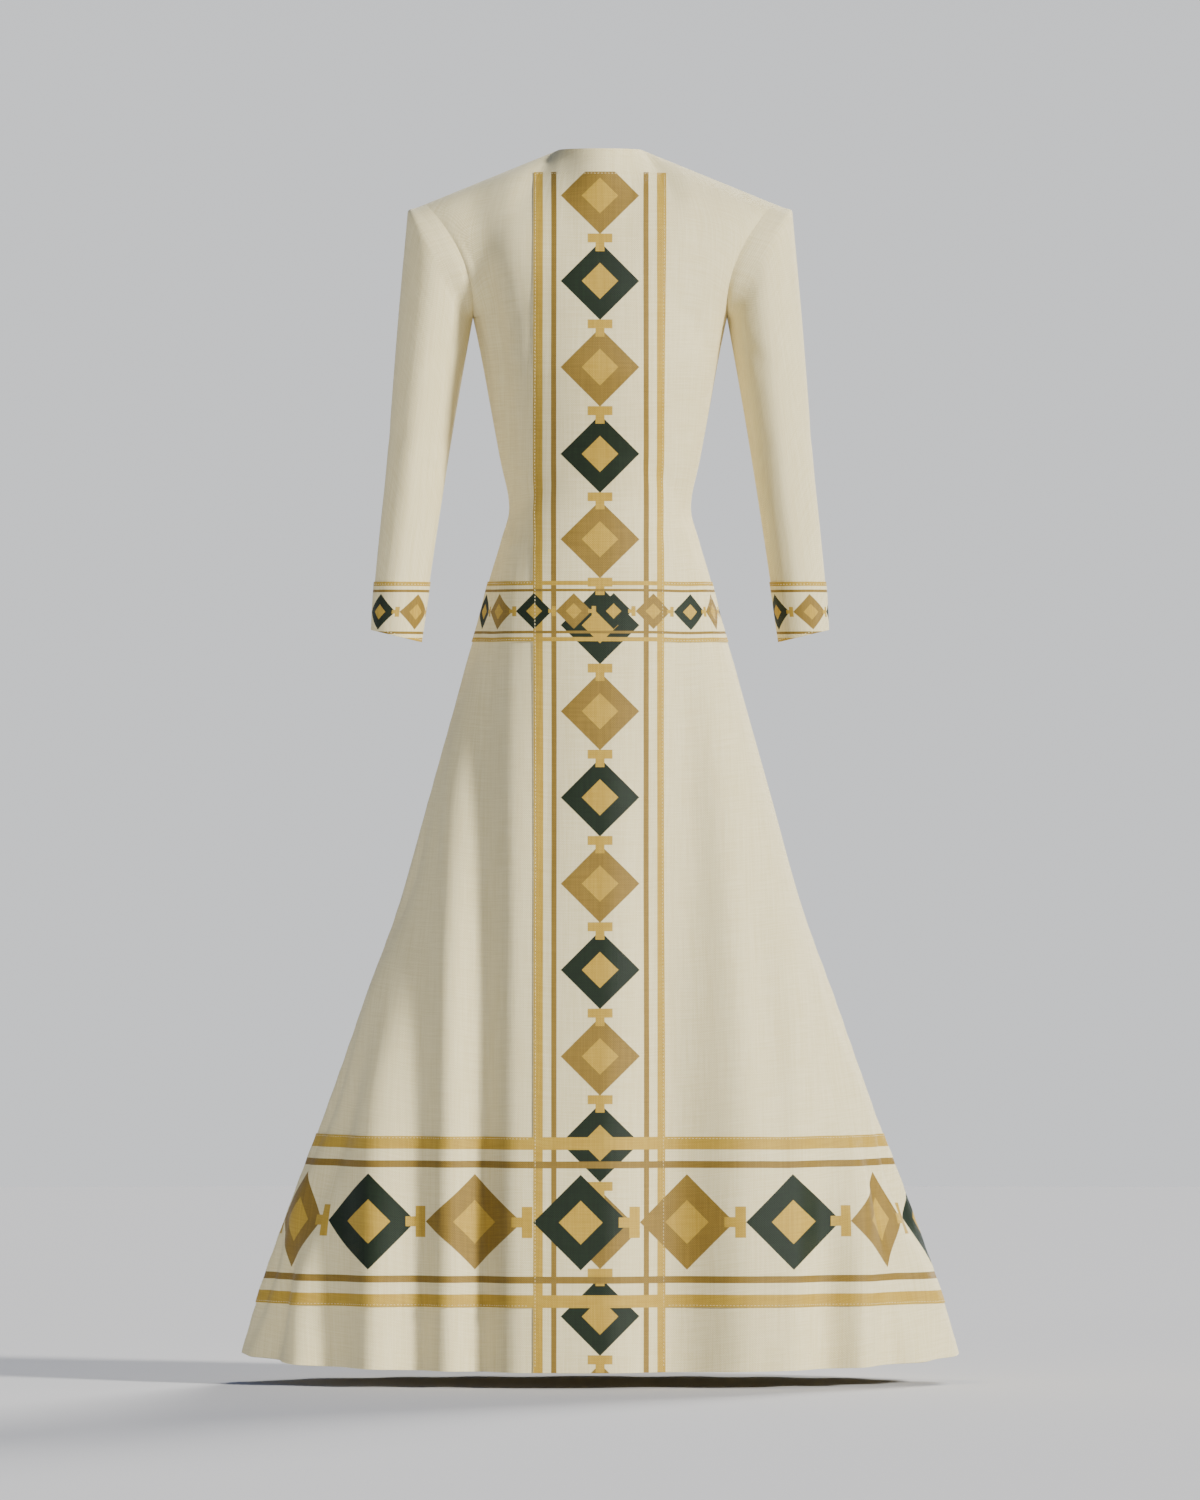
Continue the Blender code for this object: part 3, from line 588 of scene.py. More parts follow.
def body_rows():
    """Shares of the yoke's rows and levels of the rest, with a row on each band's edge."""
    turns = np.linspace(0.0, math.pi, YOKE_ROWS)
    shares = 0.5 * (1.0 - np.cos(turns))
    band_top = CENTRE_BAND_TOP_Z / UNDERARM_Z
    shares[np.argmin(np.abs(shares - band_top))] = band_top
    stops = (UNDERARM_Z, *BANDS["hip"], *BANDS["hem"], HEM_SIDE_Z)
    levels = [np.linspace(top, bottom, 1 + math.ceil((top - bottom) / ROW_STEP))[1:]
              for top, bottom in zip(stops[:-1], stops[1:])]
    return shares, np.concatenate(levels)


def grid_normals(points, way):
    """Unit normals of a grid: its step down crossed with its step across, times way."""
    return unit(np.cross(np.gradient(points, axis=0), np.gradient(points, axis=1)) * way)


# A grid of points with its maps. Faces are turned over where flip is true, and the grid is
# closed where its last column repeats its first.
Surface = namedtuple("Surface", "points normals pattern weave flip closed")


def body_surface(side):
    """The outside of the front or the back: its points, normals, and the two maps that its
    pattern and its threads follow."""
    shares, levels = body_rows()
    top, top_round = yoke(side, shares)
    rest, rest_round = levels_below(side, levels)
    points = np.concatenate((top, rest))
    across = np.concatenate((top_round, rest_round))
    way = 1.0 if side == "front" else -1.0
    normals = grid_normals(points, way)
    z = points[..., 2]
    row, column = np.arange(len(points))[:, None], np.arange(points.shape[1])[None, :]
    edge = np.minimum(column, column[:, ::-1])
    calm = ease(edge / CREASES_GROW) * ease(row / CREASES_GROW_FROM_NECK)
    drawn_in = (crease_depth(side, across, z) + ripple(across, z)) * calm
    drawn_in += seam_dip(edge, z, ease((row - YOKE_ROWS) / SEAM_STARTS))
    if side == "back":
        drawn_in += seam_dip(column - MIDDLE_COLUMN, z, ease(-(z + SLIT_LENGTH) / SLIT_SEAM_FADE))
    points = points - normals * drawn_in[..., None]
    normals = grid_normals(points, way)
    beyond_neck = np.abs(points[0, :, 0]) >= NECK_HALF_WIDTH - 1e-6
    normals[0, beyond_neck, 1] = 0.0
    normals[YOKE_ROWS - 1:, [0, -1], 1] = 0.0
    if side == "back":
        normals[:, MIDDLE_COLUMN, 0] = 0.0
    threads_across = lengths_along(points, 1, MIDDLE_COLUMN)
    threads_down = -lengths_along(points, 0, YOKE_ROWS - 1) + UNDERARM_Z
    return Surface(points, unit(normals), np.stack((across, z), axis=-1),
                   np.stack((threads_across, threads_down), axis=-1), side == "back", False)


def sleeve_edge(table, z):
    """x of one edge of the sleeve's outline, at any heights."""
    return curve_through([edge.z for edge in table], [edge.x for edge in table], z)


def sleeve_surface(side):
    """The outside of a sleeve. Each ring is its middle, plus half its width times the
    cosine of the turn, less half its depth times the sine; rings between the table's rows
    are read from a smooth curve through them. The columns start and end at the inner
    seam. Also returns the ring number of each row."""
    depth = SLEEVE_RINGS[0].half_depth
    half_way_x = 0.5 * (SHOULDER_TIP_X + SLEEVE_CORNER.x)
    half_way_z = 0.5 * (SHOULDER_TIP_Z + SLEEVE_CORNER.z)
    outer_z = np.array([half_way_z, SLEEVE_CORNER.z, *(ring.outer_z for ring in SLEEVE_RINGS)])
    inner_z = np.array([*(UNDERARM_Z - drop for drop in CORNER_INNER_DROP),
                        *(ring.inner_z for ring in SLEEVE_RINGS)])
    depths = np.array([depth, depth, *(ring.half_depth for ring in SLEEVE_RINGS)])
    outer_x = np.concatenate(([half_way_x, SLEEVE_CORNER.x],
                              sleeve_edge(SLEEVE_OUTER, outer_z[2:])))
    inner_x = sleeve_edge(SLEEVE_INNER, inner_z) + SEAM_GAP
    turns = np.linspace(math.pi, 3.0 * math.pi, SLEEVE_COLUMNS + 1)
    share = 0.5 * (1.0 - np.cos(turns))
    seam_x, seam_y, seam_z = armhole_seam(share)
    seam = np.stack((seam_x + SEAM_GAP, -np.abs(seam_y) * np.sign(np.sin(turns)), seam_z), -1)
    numbers = np.arange(1, len(outer_z) + 1)
    scoop = ARMHOLE_SCOOP * (1.0 - ease(numbers / CORNER_RINGS))
    middle_x, half_x = 0.5 * (outer_x + inner_x), 0.5 * (outer_x - inner_x)
    middle_z, half_z = 0.5 * (outer_z + inner_z), 0.5 * (outer_z - inner_z)
    cosine, sine = np.cos(turns)[None, :], np.sin(turns)[None, :]
    rings = np.stack((middle_x[:, None] + half_x[:, None] * cosine
                      - scoop[:, None] * sine ** 2,
                      -depths[:, None] * sine,
                      middle_z[:, None] + half_z[:, None] * cosine), axis=-1)
    worn_in = (ease(numbers / SLEEVE_FOLDS_GROW)
               * ease((len(numbers) - numbers) / SLEEVE_FOLDS_FADE))
    drop = sum(fold.depth * trough(np.degrees(turns) % 360.0, fold.angle, fold.half_angle)
               for fold in SLEEVE_FOLDS if fold.side == side)
    middle = np.stack((middle_x, np.zeros_like(middle_x), middle_z), axis=-1)[:, None, :]
    rings -= unit(rings - middle) * (worn_in[:, None] * drop)[..., None]
    rings = np.concatenate((seam[None], rings))
    spaced = np.concatenate((np.linspace(0.0, CORNER_RINGS, CORNER_ROWS)[:-1],
                             np.linspace(CORNER_RINGS, CUFF_BAND_RING, ARM_ROWS)[:-1],
                             np.linspace(CUFF_BAND_RING, len(rings) - 1.0, CUFF_ROWS)))
    points = through_rings(rings, spaced)
    around = lengths_along(points, 1, SLEEVE_COLUMNS * 3 // 4)
    down = -lengths_along(points, 0, 0)
    normals = tube_normals(points)
    z = points[..., 2]
    calm = ease(np.arange(len(points)) / CREASES_GROW)[:, None]
    points = points - normals * (crease_depth("sleeve", around, z) * calm)[..., None]
    points = points * (side, 1.0, 1.0)
    normals = tube_normals(points) * side
    return Surface(points, normals, np.stack((-around * side, z), axis=-1),
                   np.stack((around, down), axis=-1), side == -1, True), spaced


def through_rings(rings, at):
    """Points on smooth curves through rows of rings, at fractional row numbers: a cubic
    whose slope at each row is half the step between its two neighbours. Round the corner
    the slope is at most twice the next step."""
    slopes = np.gradient(rings, axis=0)
    corner = slopes[:CORNER_RINGS]
    steps = np.diff(rings, axis=0)[:CORNER_RINGS]
    slopes[:CORNER_RINGS] = np.minimum(np.abs(corner), 2 * np.abs(steps)) * np.sign(corner)
    cell = np.clip(np.floor(at).astype(int), 0, len(rings) - 2)
    return cubic((at - cell)[:, None, None], rings[cell], rings[cell + 1], slopes[cell],
                 slopes[cell + 1])


def tube_normals(points):
    """Outward normals of a tube whose last column repeats its first."""
    ring = points[:, :-1]
    around = np.roll(ring, -1, axis=1) - np.roll(ring, 1, axis=1)
    normals = unit(-np.cross(np.gradient(ring, axis=0), around))
    return np.concatenate((normals, normals[:, :1]), axis=1)


# ---------------------------------------------------------------------------------------
# Meshes.

def collection():
    """The collection that the dress's pieces go in."""
    found = bpy.data.collections.get("Kemis")
    if found is None:
        found = bpy.data.collections.new("Kemis")
        bpy.context.scene.collection.children.link(found)
    return found


def quad_mesh(name, points, quads, finish):
    """A smooth mesh of four-sided faces, which moves with the dress."""
    mesh = bpy.data.meshes.new(name)
    mesh.vertices.add(len(points))
    mesh.vertices.foreach_set("co", points.astype(np.float32).ravel())
    mesh.loops.add(quads.size)
    mesh.loops.foreach_set("vertex_index", quads.astype(np.int32).ravel())
    mesh.polygons.add(len(quads))
    mesh.polygons.foreach_set("loop_start", np.arange(0, quads.size, 4, dtype=np.int32))
    mesh.update(calc_edges=True)
    mesh.shade_smooth()
    mesh.set_sharp_from_angle(angle=math.radians(SHARP_TURN))
    mesh.materials.append(material(finish))
    item = bpy.data.objects.new(name, mesh)
    collection().objects.link(item)
    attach(item, "root")
    return item


def shell(name, surface, part, top, bottom, finish):
    """A thin closed wall on part of a surface: its outside and inside are the surface's
    points, moved along their normals by top and by bottom. A closed grid's last column
    shares its first one's vertices, so that a map can end where it began."""
    points, normals = surface.points[part], surface.normals[part]
    rows, columns = points.shape[:2]
    kept = columns - 1 if surface.closed else columns
    grid = np.arange(rows * columns).reshape(rows, columns)
    faces = np.stack((grid[:-1, :-1], grid[1:, :-1], grid[1:, 1:], grid[:-1, 1:]), axis=-1)
    faces = faces.reshape(-1, 4)
    rims = [grid[0], grid[-1, ::-1]]
    if not surface.closed:
        rims += [grid[::-1, 0], grid[:, -1]]
    walls = np.concatenate([np.stack((rim[:-1], rim[1:], rim[1:], rim[:-1]), axis=-1)
                            for rim in rims])
    places = np.concatenate((faces, faces[:, ::-1], walls))
    layers = np.concatenate((np.zeros_like(faces), np.ones_like(faces),
                             np.zeros_like(walls) + (0, 0, 1, 1)))
    if surface.flip:
        places, layers = places[:, ::-1], layers[:, ::-1]
    row, column = np.divmod(places, columns)
    both = [(points + normals * off)[:, :kept].reshape(-1, 3) for off in (top, bottom)]
    item = quad_mesh(name, np.concatenate(both),
                     (layers * rows + row) * kept + column % kept, finish)
    for map_name in ("pattern", "weave"):
        values = getattr(surface, map_name)[part].reshape(-1, 2)[places]
        layer = item.data.uv_layers.new(name=map_name)
        layer.uv.foreach_set("vector", values.astype(np.float32).ravel())
    return item


def cotton_piece(name, surface, part, turned_rows):
    """A panel of cotton over its own solid. Its wall is thicker where the hem is turned."""
    rows_up = np.arange(len(surface.points[part]))[::-1]
    wall = CLOTH + HEM_TURN * ease((turned_rows - rows_up) / TURN_ENDS)
    item = shell(name, surface, part, 0.0, -wall[:, None, None], "cotton")
    return item


def tibeb_piece(name, surface, part, finish):
    """A woven band that lies on its panel: the panel's own points, moved outwards."""
    item = shell(name, surface, part, BAND_LIFT + BAND_CLOTH, BAND_LIFT, finish)
    return item


def stands_for(node):
    """Hides the frame's node that a sheet replaces."""
    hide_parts(node)


def sample(surface, rows, columns, lift):
    """Points of a surface at fractional rows and columns, each a mix of the four nearest,
    moved out by lift; and the normals there."""
    rows, columns = np.broadcast_arrays(np.asarray(rows, float), np.asarray(columns, float))
    row = np.clip(np.floor(rows).astype(int), 0, surface.points.shape[0] - 2)
    column = np.clip(np.floor(columns).astype(int), 0, surface.points.shape[1] - 2)
    down, across = (rows - row)[:, None], (columns - column)[:, None]
    mixed = [((1 - down) * (1 - across) * grid[row, column]
              + (1 - down) * across * grid[row, column + 1]
              + down * (1 - across) * grid[row + 1, column]
              + down * across * grid[row + 1, column + 1])
             for grid in (surface.points, surface.normals)]
    normals = unit(mixed[1])
    return mixed[0] + normals * lift, normals


Stitches = namedtuple("Stitches", "starts ends normals")


def stitch_line(points, normals, sizes):
    """Stitches at even steps along a line, each a little longer or shorter than the last
    and a little to one side, as a hand leaves them."""
    steps = np.linalg.norm(np.diff(points, axis=0), axis=1)
    length = np.concatenate(([0.0], np.cumsum(steps)))
    count = max(1, int(length[-1] / sizes.stitch_pitch))
    number = np.arange(count)
    uneven, start_aside, end_aside = (np.sin(beat * number) for beat in STITCH_BEATS)

    def along(places, values):
        """Values at places along the line, each axis interpolated by itself."""
        return np.stack([np.interp(places, length, values[:, axis]) for axis in range(3)], axis=-1)

    middle = (number + 0.5) * length[-1] / count
    half = 0.5 * sizes.stitch_length * (1.0 + STITCH_UNEVEN * uneven)
    starts, ends = along(middle - half, points), along(middle + half, points)
    up = unit(along(middle, normals))
    aside = unit(np.cross(ends - starts, up)) * sizes.stitch_radius * STITCH_ASIDE
    return Stitches(starts + aside * start_aside[:, None], ends + aside * end_aside[:, None], up)


def ring_faces(rings, sides):
    """Four-sided faces between each ring of vertices and the next, all the way round."""
    ring, step = np.meshgrid(np.arange(rings - 1), np.arange(sides), indexing="ij")
    after = (step + 1) % sides
    return np.stack((ring * sides + step, (ring + 1) * sides + step,
                     (ring + 1) * sides + after, ring * sides + after), axis=-1).reshape(-1, 4)


def stitch_mesh(name, lines, radius):
    """All of a group's stitches as one mesh. Each is a four-sided grain of thread: rings
    along it, each the radius times the cosine of the turn to one side and the sine up."""
    starts, ends, normals = (np.concatenate(part) for part in zip(*lines))
    side = unit(np.cross(ends - starts, normals))
    turns = np.radians((0.0, 90.0, 180.0, 270.0))
    rings = []
    for grain in GRAIN:
        middle = starts + (ends - starts) * grain.along + normals * grain.height * radius
        rings.append(np.stack([middle + radius * grain.width * (math.cos(turn) * side
                                                                + math.sin(turn) * normals)
                               for turn in turns], axis=1))
    points = np.stack(rings, axis=1).reshape(-1, 3)
    each = len(GRAIN) * len(turns)
    caps = np.arange(each).reshape(-1, len(turns))[[0, -1]]
    quads = np.concatenate((caps[:1], caps[1:, ::-1], ring_faces(len(GRAIN), len(turns))))
    first = each * np.arange(len(starts))[:, None, None]
    item = quad_mesh(name, points, (first + quads).reshape(-1, 4), "thread")


def thread_tube(name, path, radius):
    """A thread along a path: rings of points square to its direction, and closed ends."""
    forward = unit(np.gradient(path, axis=0))
    side = unit(np.cross(forward, (0.0, 1.0, 0.0)))
    up = np.cross(side, forward)
    turns = np.linspace(0.0, 2.0 * math.pi, TUBE_SIDES, endpoint=False)[None, :, None]
    taper = np.ones((len(path), 1, 1))
    taper[[0, -1]] = TUBE_TIP
    ring = np.cos(turns) * side[:, None] + np.sin(turns) * up[:, None]
    points = (path[:, None] + radius * taper * ring).reshape(-1, 3)
    ends = np.array(((0, 1, 2, 3), (0, 3, 4, 7), (4, 5, 6, 7)))
    quads = np.concatenate((ring_faces(len(path), TUBE_SIDES), ends,
                            ends[:, ::-1] + TUBE_SIDES * (len(path) - 1)))
    item = quad_mesh(name, points, quads, "thread")


# ---------------------------------------------------------------------------------------
# Materials.

def add(tree, kind, sockets=(), **settings):
    """Adds a shader node, sets its settings, and fills its inputs with values or links. A
    node given as a value is linked by the first of its outputs that is in use."""
    node = tree.nodes.new(f"ShaderNode{kind}")
    for key, value in settings.items():
        setattr(node, key, value)
    for key, value in dict(sockets).items():
        if isinstance(value, bpy.types.Node):
            value = next(output for output in value.outputs if output.enabled)
        if isinstance(value, bpy.types.NodeSocket):
            tree.links.new(value, node.inputs[key])
        else:
            node.inputs[key].default_value = value
    return node


# A colour mix's inputs share their names with its other types', so they go by number.
FACTOR, BELOW, ABOVE = 0, 6, 7

# Rows of sums: the result's name, the operation and what it works on. A word names an
# earlier result, and a number is itself.
Sum = namedtuple("Sum", "result operation first second")
FRIEZE_SUMS = (
    Sum("share", "DIVIDE", "along", "period"),
    Sum("cell", "ROUND", "share", None),
    Sum("past cell", "SUBTRACT", "share", "cell"),
    Sum("past", "MULTIPLY", "past cell", "period"),
    Sum("off along", "ABSOLUTE", "past", None),
    Sum("off across", "ABSOLUTE", "across", None),
    Sum("reach", "ADD", "off along", "off across"),
    Sum("in diamond", "LESS_THAN", "reach", "diamond"),
    Sum("in heart", "LESS_THAN", "reach", "heart"),
    Sum("half period", "MULTIPLY", "period", 0.5),
    Sum("to gap", "SUBTRACT", "half period", "off along"),
    Sum("in bar", "LESS_THAN", "to gap", "bar"),
    Sum("by bar", "LESS_THAN", "off across", "bar_reach"),
    Sum("whole bar", "MULTIPLY", "in bar", "by bar"),
    Sum("in arm", "LESS_THAN", "to gap", "arm_reach"),
    Sum("by arm", "LESS_THAN", "off across", "arm"),
    Sum("both arms", "MULTIPLY", "in arm", "by arm"),
    Sum("ahead", "GREATER_THAN", "past", 0.0),
    Sum("one arm", "MULTIPLY", "both arms", "ahead"),
    Sum("cross", "MAXIMUM", "whole bar", "one arm"),
    Sum("light motif", "MAXIMUM", "in heart", "cross"),
    Sum("to thick", "SUBTRACT", "off across", "thick_at"),
    Sum("off thick", "ABSOLUTE", "to thick", None),
    Sum("in thick", "LESS_THAN", "off thick", "thick"),
    Sum("to thin", "SUBTRACT", "off across", "thin_at"),
    Sum("off thin", "ABSOLUTE", "to thin", None),
    Sum("in thin", "LESS_THAN", "off thin", "thin"),
    Sum("turn", "FLOORED_MODULO", "cell", 2.0),
    Sum("green", "LESS_THAN", "turn", 0.5),
    Sum("green diamond", "MULTIPLY", "in diamond", "green"),
    Sum("dark gold", "MAXIMUM", "in diamond", "in thin"),
    Sum("light gold", "MAXIMUM", "light motif", "in thick"),
)


def frieze_masks(tree, frieze, along, across):
    """Where a frieze's dark gold, green and light gold are, each 0 or 1."""
    known = {"along": along, "across": across, **frieze._asdict()}
    for row in FRIEZE_SUMS:
        sockets = {0: known.get(row.first, row.first)}
        if row.second is not None:
            sockets[1] = known.get(row.second, row.second)
        known[row.result] = add(tree, "Math", sockets, operation=row.operation)
    return known["dark gold"], known["green diamond"], known["light gold"]


def from_origin(tree, coordinate, origin):
    """A coordinate less its origin, which moves on by whole steps, so that a pattern's edges
    are woven in steps."""
    off = add(tree, "Math", {0: coordinate, 1: origin}, operation="SUBTRACT")
    half_on = add(tree, "Math", {0: off, 1: PATTERN_STEP / 2}, operation="ADD")
    return add(tree, "Math", {0: half_on, 1: PATTERN_STEP}, operation="SNAP")


def woven_relief(tree, slub_height):
    """A plain weave: the product of two sines one thread apart, with slubs where a stretched
    noise is high. Returns its height, and how light each thread is."""
    weave = add(tree, "SeparateXYZ", {"Vector": add(tree, "UVMap", uv_map="weave")})
    waves = []
    for axis in ("X", "Y"):
        turn = add(tree, "Math", {0: weave.outputs[axis], 1: math.pi / THREAD},
                   operation="MULTIPLY")
        waves.append(add(tree, "Math", {0: turn}, operation="SINE"))
    plain = add(tree, "Math", {0: waves[0], 1: waves[1]}, operation="MULTIPLY")
    noises = []
    for slub in SLUBS:
        x = add(tree, "Math", {0: weave.outputs["X"], 1: 1 / slub.across}, operation="MULTIPLY")
        y = add(tree, "Math", {0: weave.outputs["Y"], 1: 1 / slub.down}, operation="MULTIPLY")
        stretched = add(tree, "CombineXYZ", {"X": x, "Y": y, "Z": slub.start})
        noises.append(add(tree, "TexNoise", {"Vector": stretched, "Scale": 1.0,
                                             "Detail": 2.0, "Roughness": 0.55}))
    slubs = add(tree, "Math", {0: noises[0], 1: noises[1]}, operation="ADD")
    height = add(tree, "Math", {0: slubs, 1: slub_height, 2: plain}, operation="MULTIPLY_ADD")
    light = add(tree, "MapRange", {"Value": slubs, "From Min": SLUB_RANGE[0],
                                   "From Max": SLUB_RANGE[1]})
    return height, light


def cloth_shader(tree, colour, height, roughness, sheen, bump):
    """Finishes a material as matt woven cloth: a rough base, a soft sheen from its fibre
    ends, and the threads' height as a bump."""
    relief = add(tree, "Bump", {"Strength": bump, "Distance": 0.0004, "Height": height})
    surface = add(tree, "BsdfPrincipled", {
        "Base Color": colour, "Roughness": roughness, "Metallic": 0.0, "IOR": 1.48,
        "Specular IOR Level": 0.25, "Sheen Weight": sheen, "Sheen Roughness": 0.5,
        "Normal": relief})
    add(tree, "OutputMaterial", {"Surface": surface})


def new_material(name):
    """An empty node material."""
    material = bpy.data.materials.new(name)
    material.use_nodes = True
    material.node_tree.nodes.clear()
    return material, material.node_tree


def handwoven_cotton(colours):
    """Shemma: handspun cotton in an open plain weave. It looks matt and creamy, with
    uneven threads. The threads are drawn 1.2 mm apart, where the real ones are about
    0.5 mm, so that they show."""
    material, tree = new_material("handwoven shemma cotton")
    height, light = woven_relief(tree, COTTON_SLUB_HEIGHT)
    colour = add(tree, "Mix", {FACTOR: light, BELOW: colours.cotton_shade,
                               ABOVE: colours.cotton}, data_type="RGBA")
    cloth_shader(tree, colour, height, roughness=MATT, sheen=0.12, bump=0.35)
    return material


def woven_tibeb(name, colours):
    """Tibeb: a cotton band with patterns laid in by hand in gold and green rayon weft. The
    ground is as matt as the dress, and the inlay is smoother, a little raised and has a
    low silky sheen. Later friezes are woven over earlier ones."""
    material, tree = new_material(f"tibeb, {name}")
    place = add(tree, "SeparateXYZ", {"Vector": add(tree, "UVMap", uv_map="pattern")})
    height, light = woven_relief(tree, TIBEB_SLUB_HEIGHT)
    colour, *tones = [add(tree, "Mix", {FACTOR: light, ABOVE: getattr(colours, tone),
                                        BELOW: getattr(colours, f"{tone}_shade")},
                          data_type="RGBA")
                      for tone in ("cotton", "dark_gold", "green", "light_gold")]
    inlay = None
    for frieze in TIBEBS[name]:
        along, across = ("Y", "X") if frieze.upright else ("X", "Y")
        masks = frieze_masks(tree, frieze,
                             from_origin(tree, place.outputs[along], frieze.start),
                             from_origin(tree, place.outputs[across], frieze.middle))
        for mask, tone in zip(masks, tones):
            colour = add(tree, "Mix", {FACTOR: mask, BELOW: colour, ABOVE: tone}, data_type="RGBA")
            inlay = mask if inlay is None else add(tree, "Math", {0: inlay, 1: mask},
                                                   operation="MAXIMUM")
    raised = add(tree, "Math", {0: inlay, 1: INLAY_HEIGHT, 2: height}, operation="MULTIPLY_ADD")
    roughness = add(tree, "MapRange", {"Value": inlay, "To Min": MATT, "To Max": SILKY})
    cloth_shader(tree, colour, raised, roughness, sheen=0.04, bump=0.4)
    return material


def moulded_button(colours):
    """Pale moulded shirt button: smooth and softly glossy, clouded every 4 mm or so."""
    material, tree = new_material("moulded button")
    place = add(tree, "TexCoord").outputs["Object"]
    clouds = add(tree, "TexNoise", {"Vector": place, "Scale": 240.0})
    colour = add(tree, "Mix", {FACTOR: clouds, BELOW: colours.button_shade,
                               ABOVE: colours.button}, data_type="RGBA")
    surface = add(tree, "BsdfPrincipled", {"Base Color": colour, "Roughness": 0.28, "IOR": 1.5})
    add(tree, "OutputMaterial", {"Surface": surface})
    return material


def sewing_thread(colours):
    """Three-ply cotton thread: matt, with a twist every millimetre or so."""
    material, tree = new_material("cotton sewing thread")
    place = add(tree, "TexCoord").outputs["Object"]
    twist = add(tree, "TexWave", {"Vector": place, "Scale": 420.0})
    colour = add(tree, "Mix", {FACTOR: twist.outputs["Fac"], BELOW: colours.cotton_shade,
                               ABOVE: colours.cotton}, data_type="RGBA")
    surface = add(tree, "BsdfPrincipled", {"Base Color": colour, "Roughness": 0.7,
                                           "Sheen Weight": 0.1})
    add(tree, "OutputMaterial", {"Surface": surface})
    return material


# ---------------------------------------------------------------------------------------
# Settings.

def colour_setting(name, description, code):
    """A colour that a user can change, from its hex sRGB value."""
    return FloatVectorProperty(name=name, description=description, subtype="COLOR", size=4,
                               default=srgb(code))


def length_setting(name, description, default, **limits):
    """A length that a user can change."""
    return FloatProperty(name=name, description=description, default=default, unit="LENGTH",
                         **limits)


class KemisColours(bpy.types.PropertyGroup):
    """Colours of the cloth, the inlay and the button."""

    cotton: colour_setting("Cotton", "Undyed cotton, in the light", "#E8DAA8")
    cotton_shade: colour_setting("Cotton slubs", "Darker threads", "#DCCC96")
    light_gold: colour_setting("Light gold", "Thick stripes, hearts", "#BA9838")
    light_gold_shade: colour_setting("Light gold, shaded", "Its threads", "#AA882E")
    dark_gold: colour_setting("Dark gold", "Thin stripes, diamonds", "#8A6E2A")
    dark_gold_shade: colour_setting("Dark gold, shaded", "Its threads", "#7C6224")
    green: colour_setting("Green", "Every other diamond", "#17240E")
    green_shade: colour_setting("Green, shaded", "Its threads", "#121D09")
    button: colour_setting("Button", "Pale moulded button", "#E2D8BC")
    button_shade: colour_setting("Button clouding", "Its darker parts", "#D2C5A4")
    floor: colour_setting("Floor", "Studio floor", "#C9C6C0")


class KemisSizes(bpy.types.PropertyGroup):
    """Sizes of the sewing and the studio."""

    stitch_length: length_setting("Stitch length", "Length of one stitch", 0.0026, min=0.001)
    stitch_pitch: length_setting("Stitch pitch", "From stitch to stitch", 0.0040, min=0.001)
    stitch_radius: length_setting("Stitch radius", "Half the thread's width", 0.00032, min=0.0001)
    camera_distance: length_setting("Camera distance", "From the dress", 20.0, min=2.0)
    frame_height: length_setting("Frame height", "Height that the view takes in", 1.725, min=0.5)
    frame_middle_z: length_setting("Frame middle", "Height of its middle", -0.690)
    floor_drop: length_setting("Floor drop", "From the hem to the floor", 0.018, min=0.0)
    floor_radius: length_setting("Floor radius", "Half the floor's width", 9.0, min=1.0)
    floor_rings: IntProperty(name="Floor rings", description="Rings of the floor's mesh",
                             default=24, min=2)


MAKERS = {"cotton": handwoven_cotton, "button": moulded_button, "thread": sewing_thread}

# Surfaces and materials that have been made, by name.
made = {}


def surfaces():
    """Works out each surface once, and keeps it for the other pieces."""
    if "front" not in made:
        made["front"] = body_surface("front")
        made["back"] = body_surface("back")
        for hand, side in HANDS.items():
            made[hand], made["ring numbers"] = sleeve_surface(side)
    return made


def material(name):
    """One of the dress's materials, made when it is first asked for."""
    if name not in made:
        colours = bpy.context.scene.kemis_colours
        made[name] = MAKERS[name](colours) if name in MAKERS else woven_tibeb(name, colours)
    return made[name]


def row_at(z):
    """The body's row at a level, as a whole number."""
    shares, levels = body_rows()
    return int(np.argmin(np.abs(np.concatenate((shares * UNDERARM_Z, levels)) - z)))


def cuff_row():
    """The first row of the sleeves' cuff bands."""
    return int(np.argmin(np.abs(surfaces()["ring numbers"] - CUFF_BAND_RING)))


def near_neck(x, z):
    """The fractional row and column of a place close to the neck. Rows there are at
    UNDERARM_Z (1 - cosine) / 2, and columns are evenly spaced."""
    row = np.arccos(1.0 - 2.0 * z / UNDERARM_Z) / math.pi * (YOKE_ROWS - 1)
    return row, MIDDLE_COLUMN + x * INNER_COLUMNS / CENTRE_BAND_HALF_WIDTH


def level_lines(side, row, lift):
    """Stitches along a row of the front or back, in two halves: from each side seam to the
    centre band or the centre-back seam."""
    inner, outer = MIDDLE_CLEAR[side], MIDDLE_COLUMN - SIDE_CLEAR
    return [(surfaces()[side], row, MIDDLE_COLUMN + columns, lift)
            for columns in (np.arange(-outer, -inner, STITCH_STEP),
                            np.arange(inner, outer, STITCH_STEP))]


def put_in_studio(name, data, place=(0.0, 0.0, 0.0), turn=(0.0, 0.0, 0.0)):
    """Adds an object to the scene, at a place and turned by three angles."""
    item = bpy.data.objects.new(name, data)
    item.location = place
    item.rotation_euler = turn
    bpy.context.scene.collection.objects.link(item)
    return item


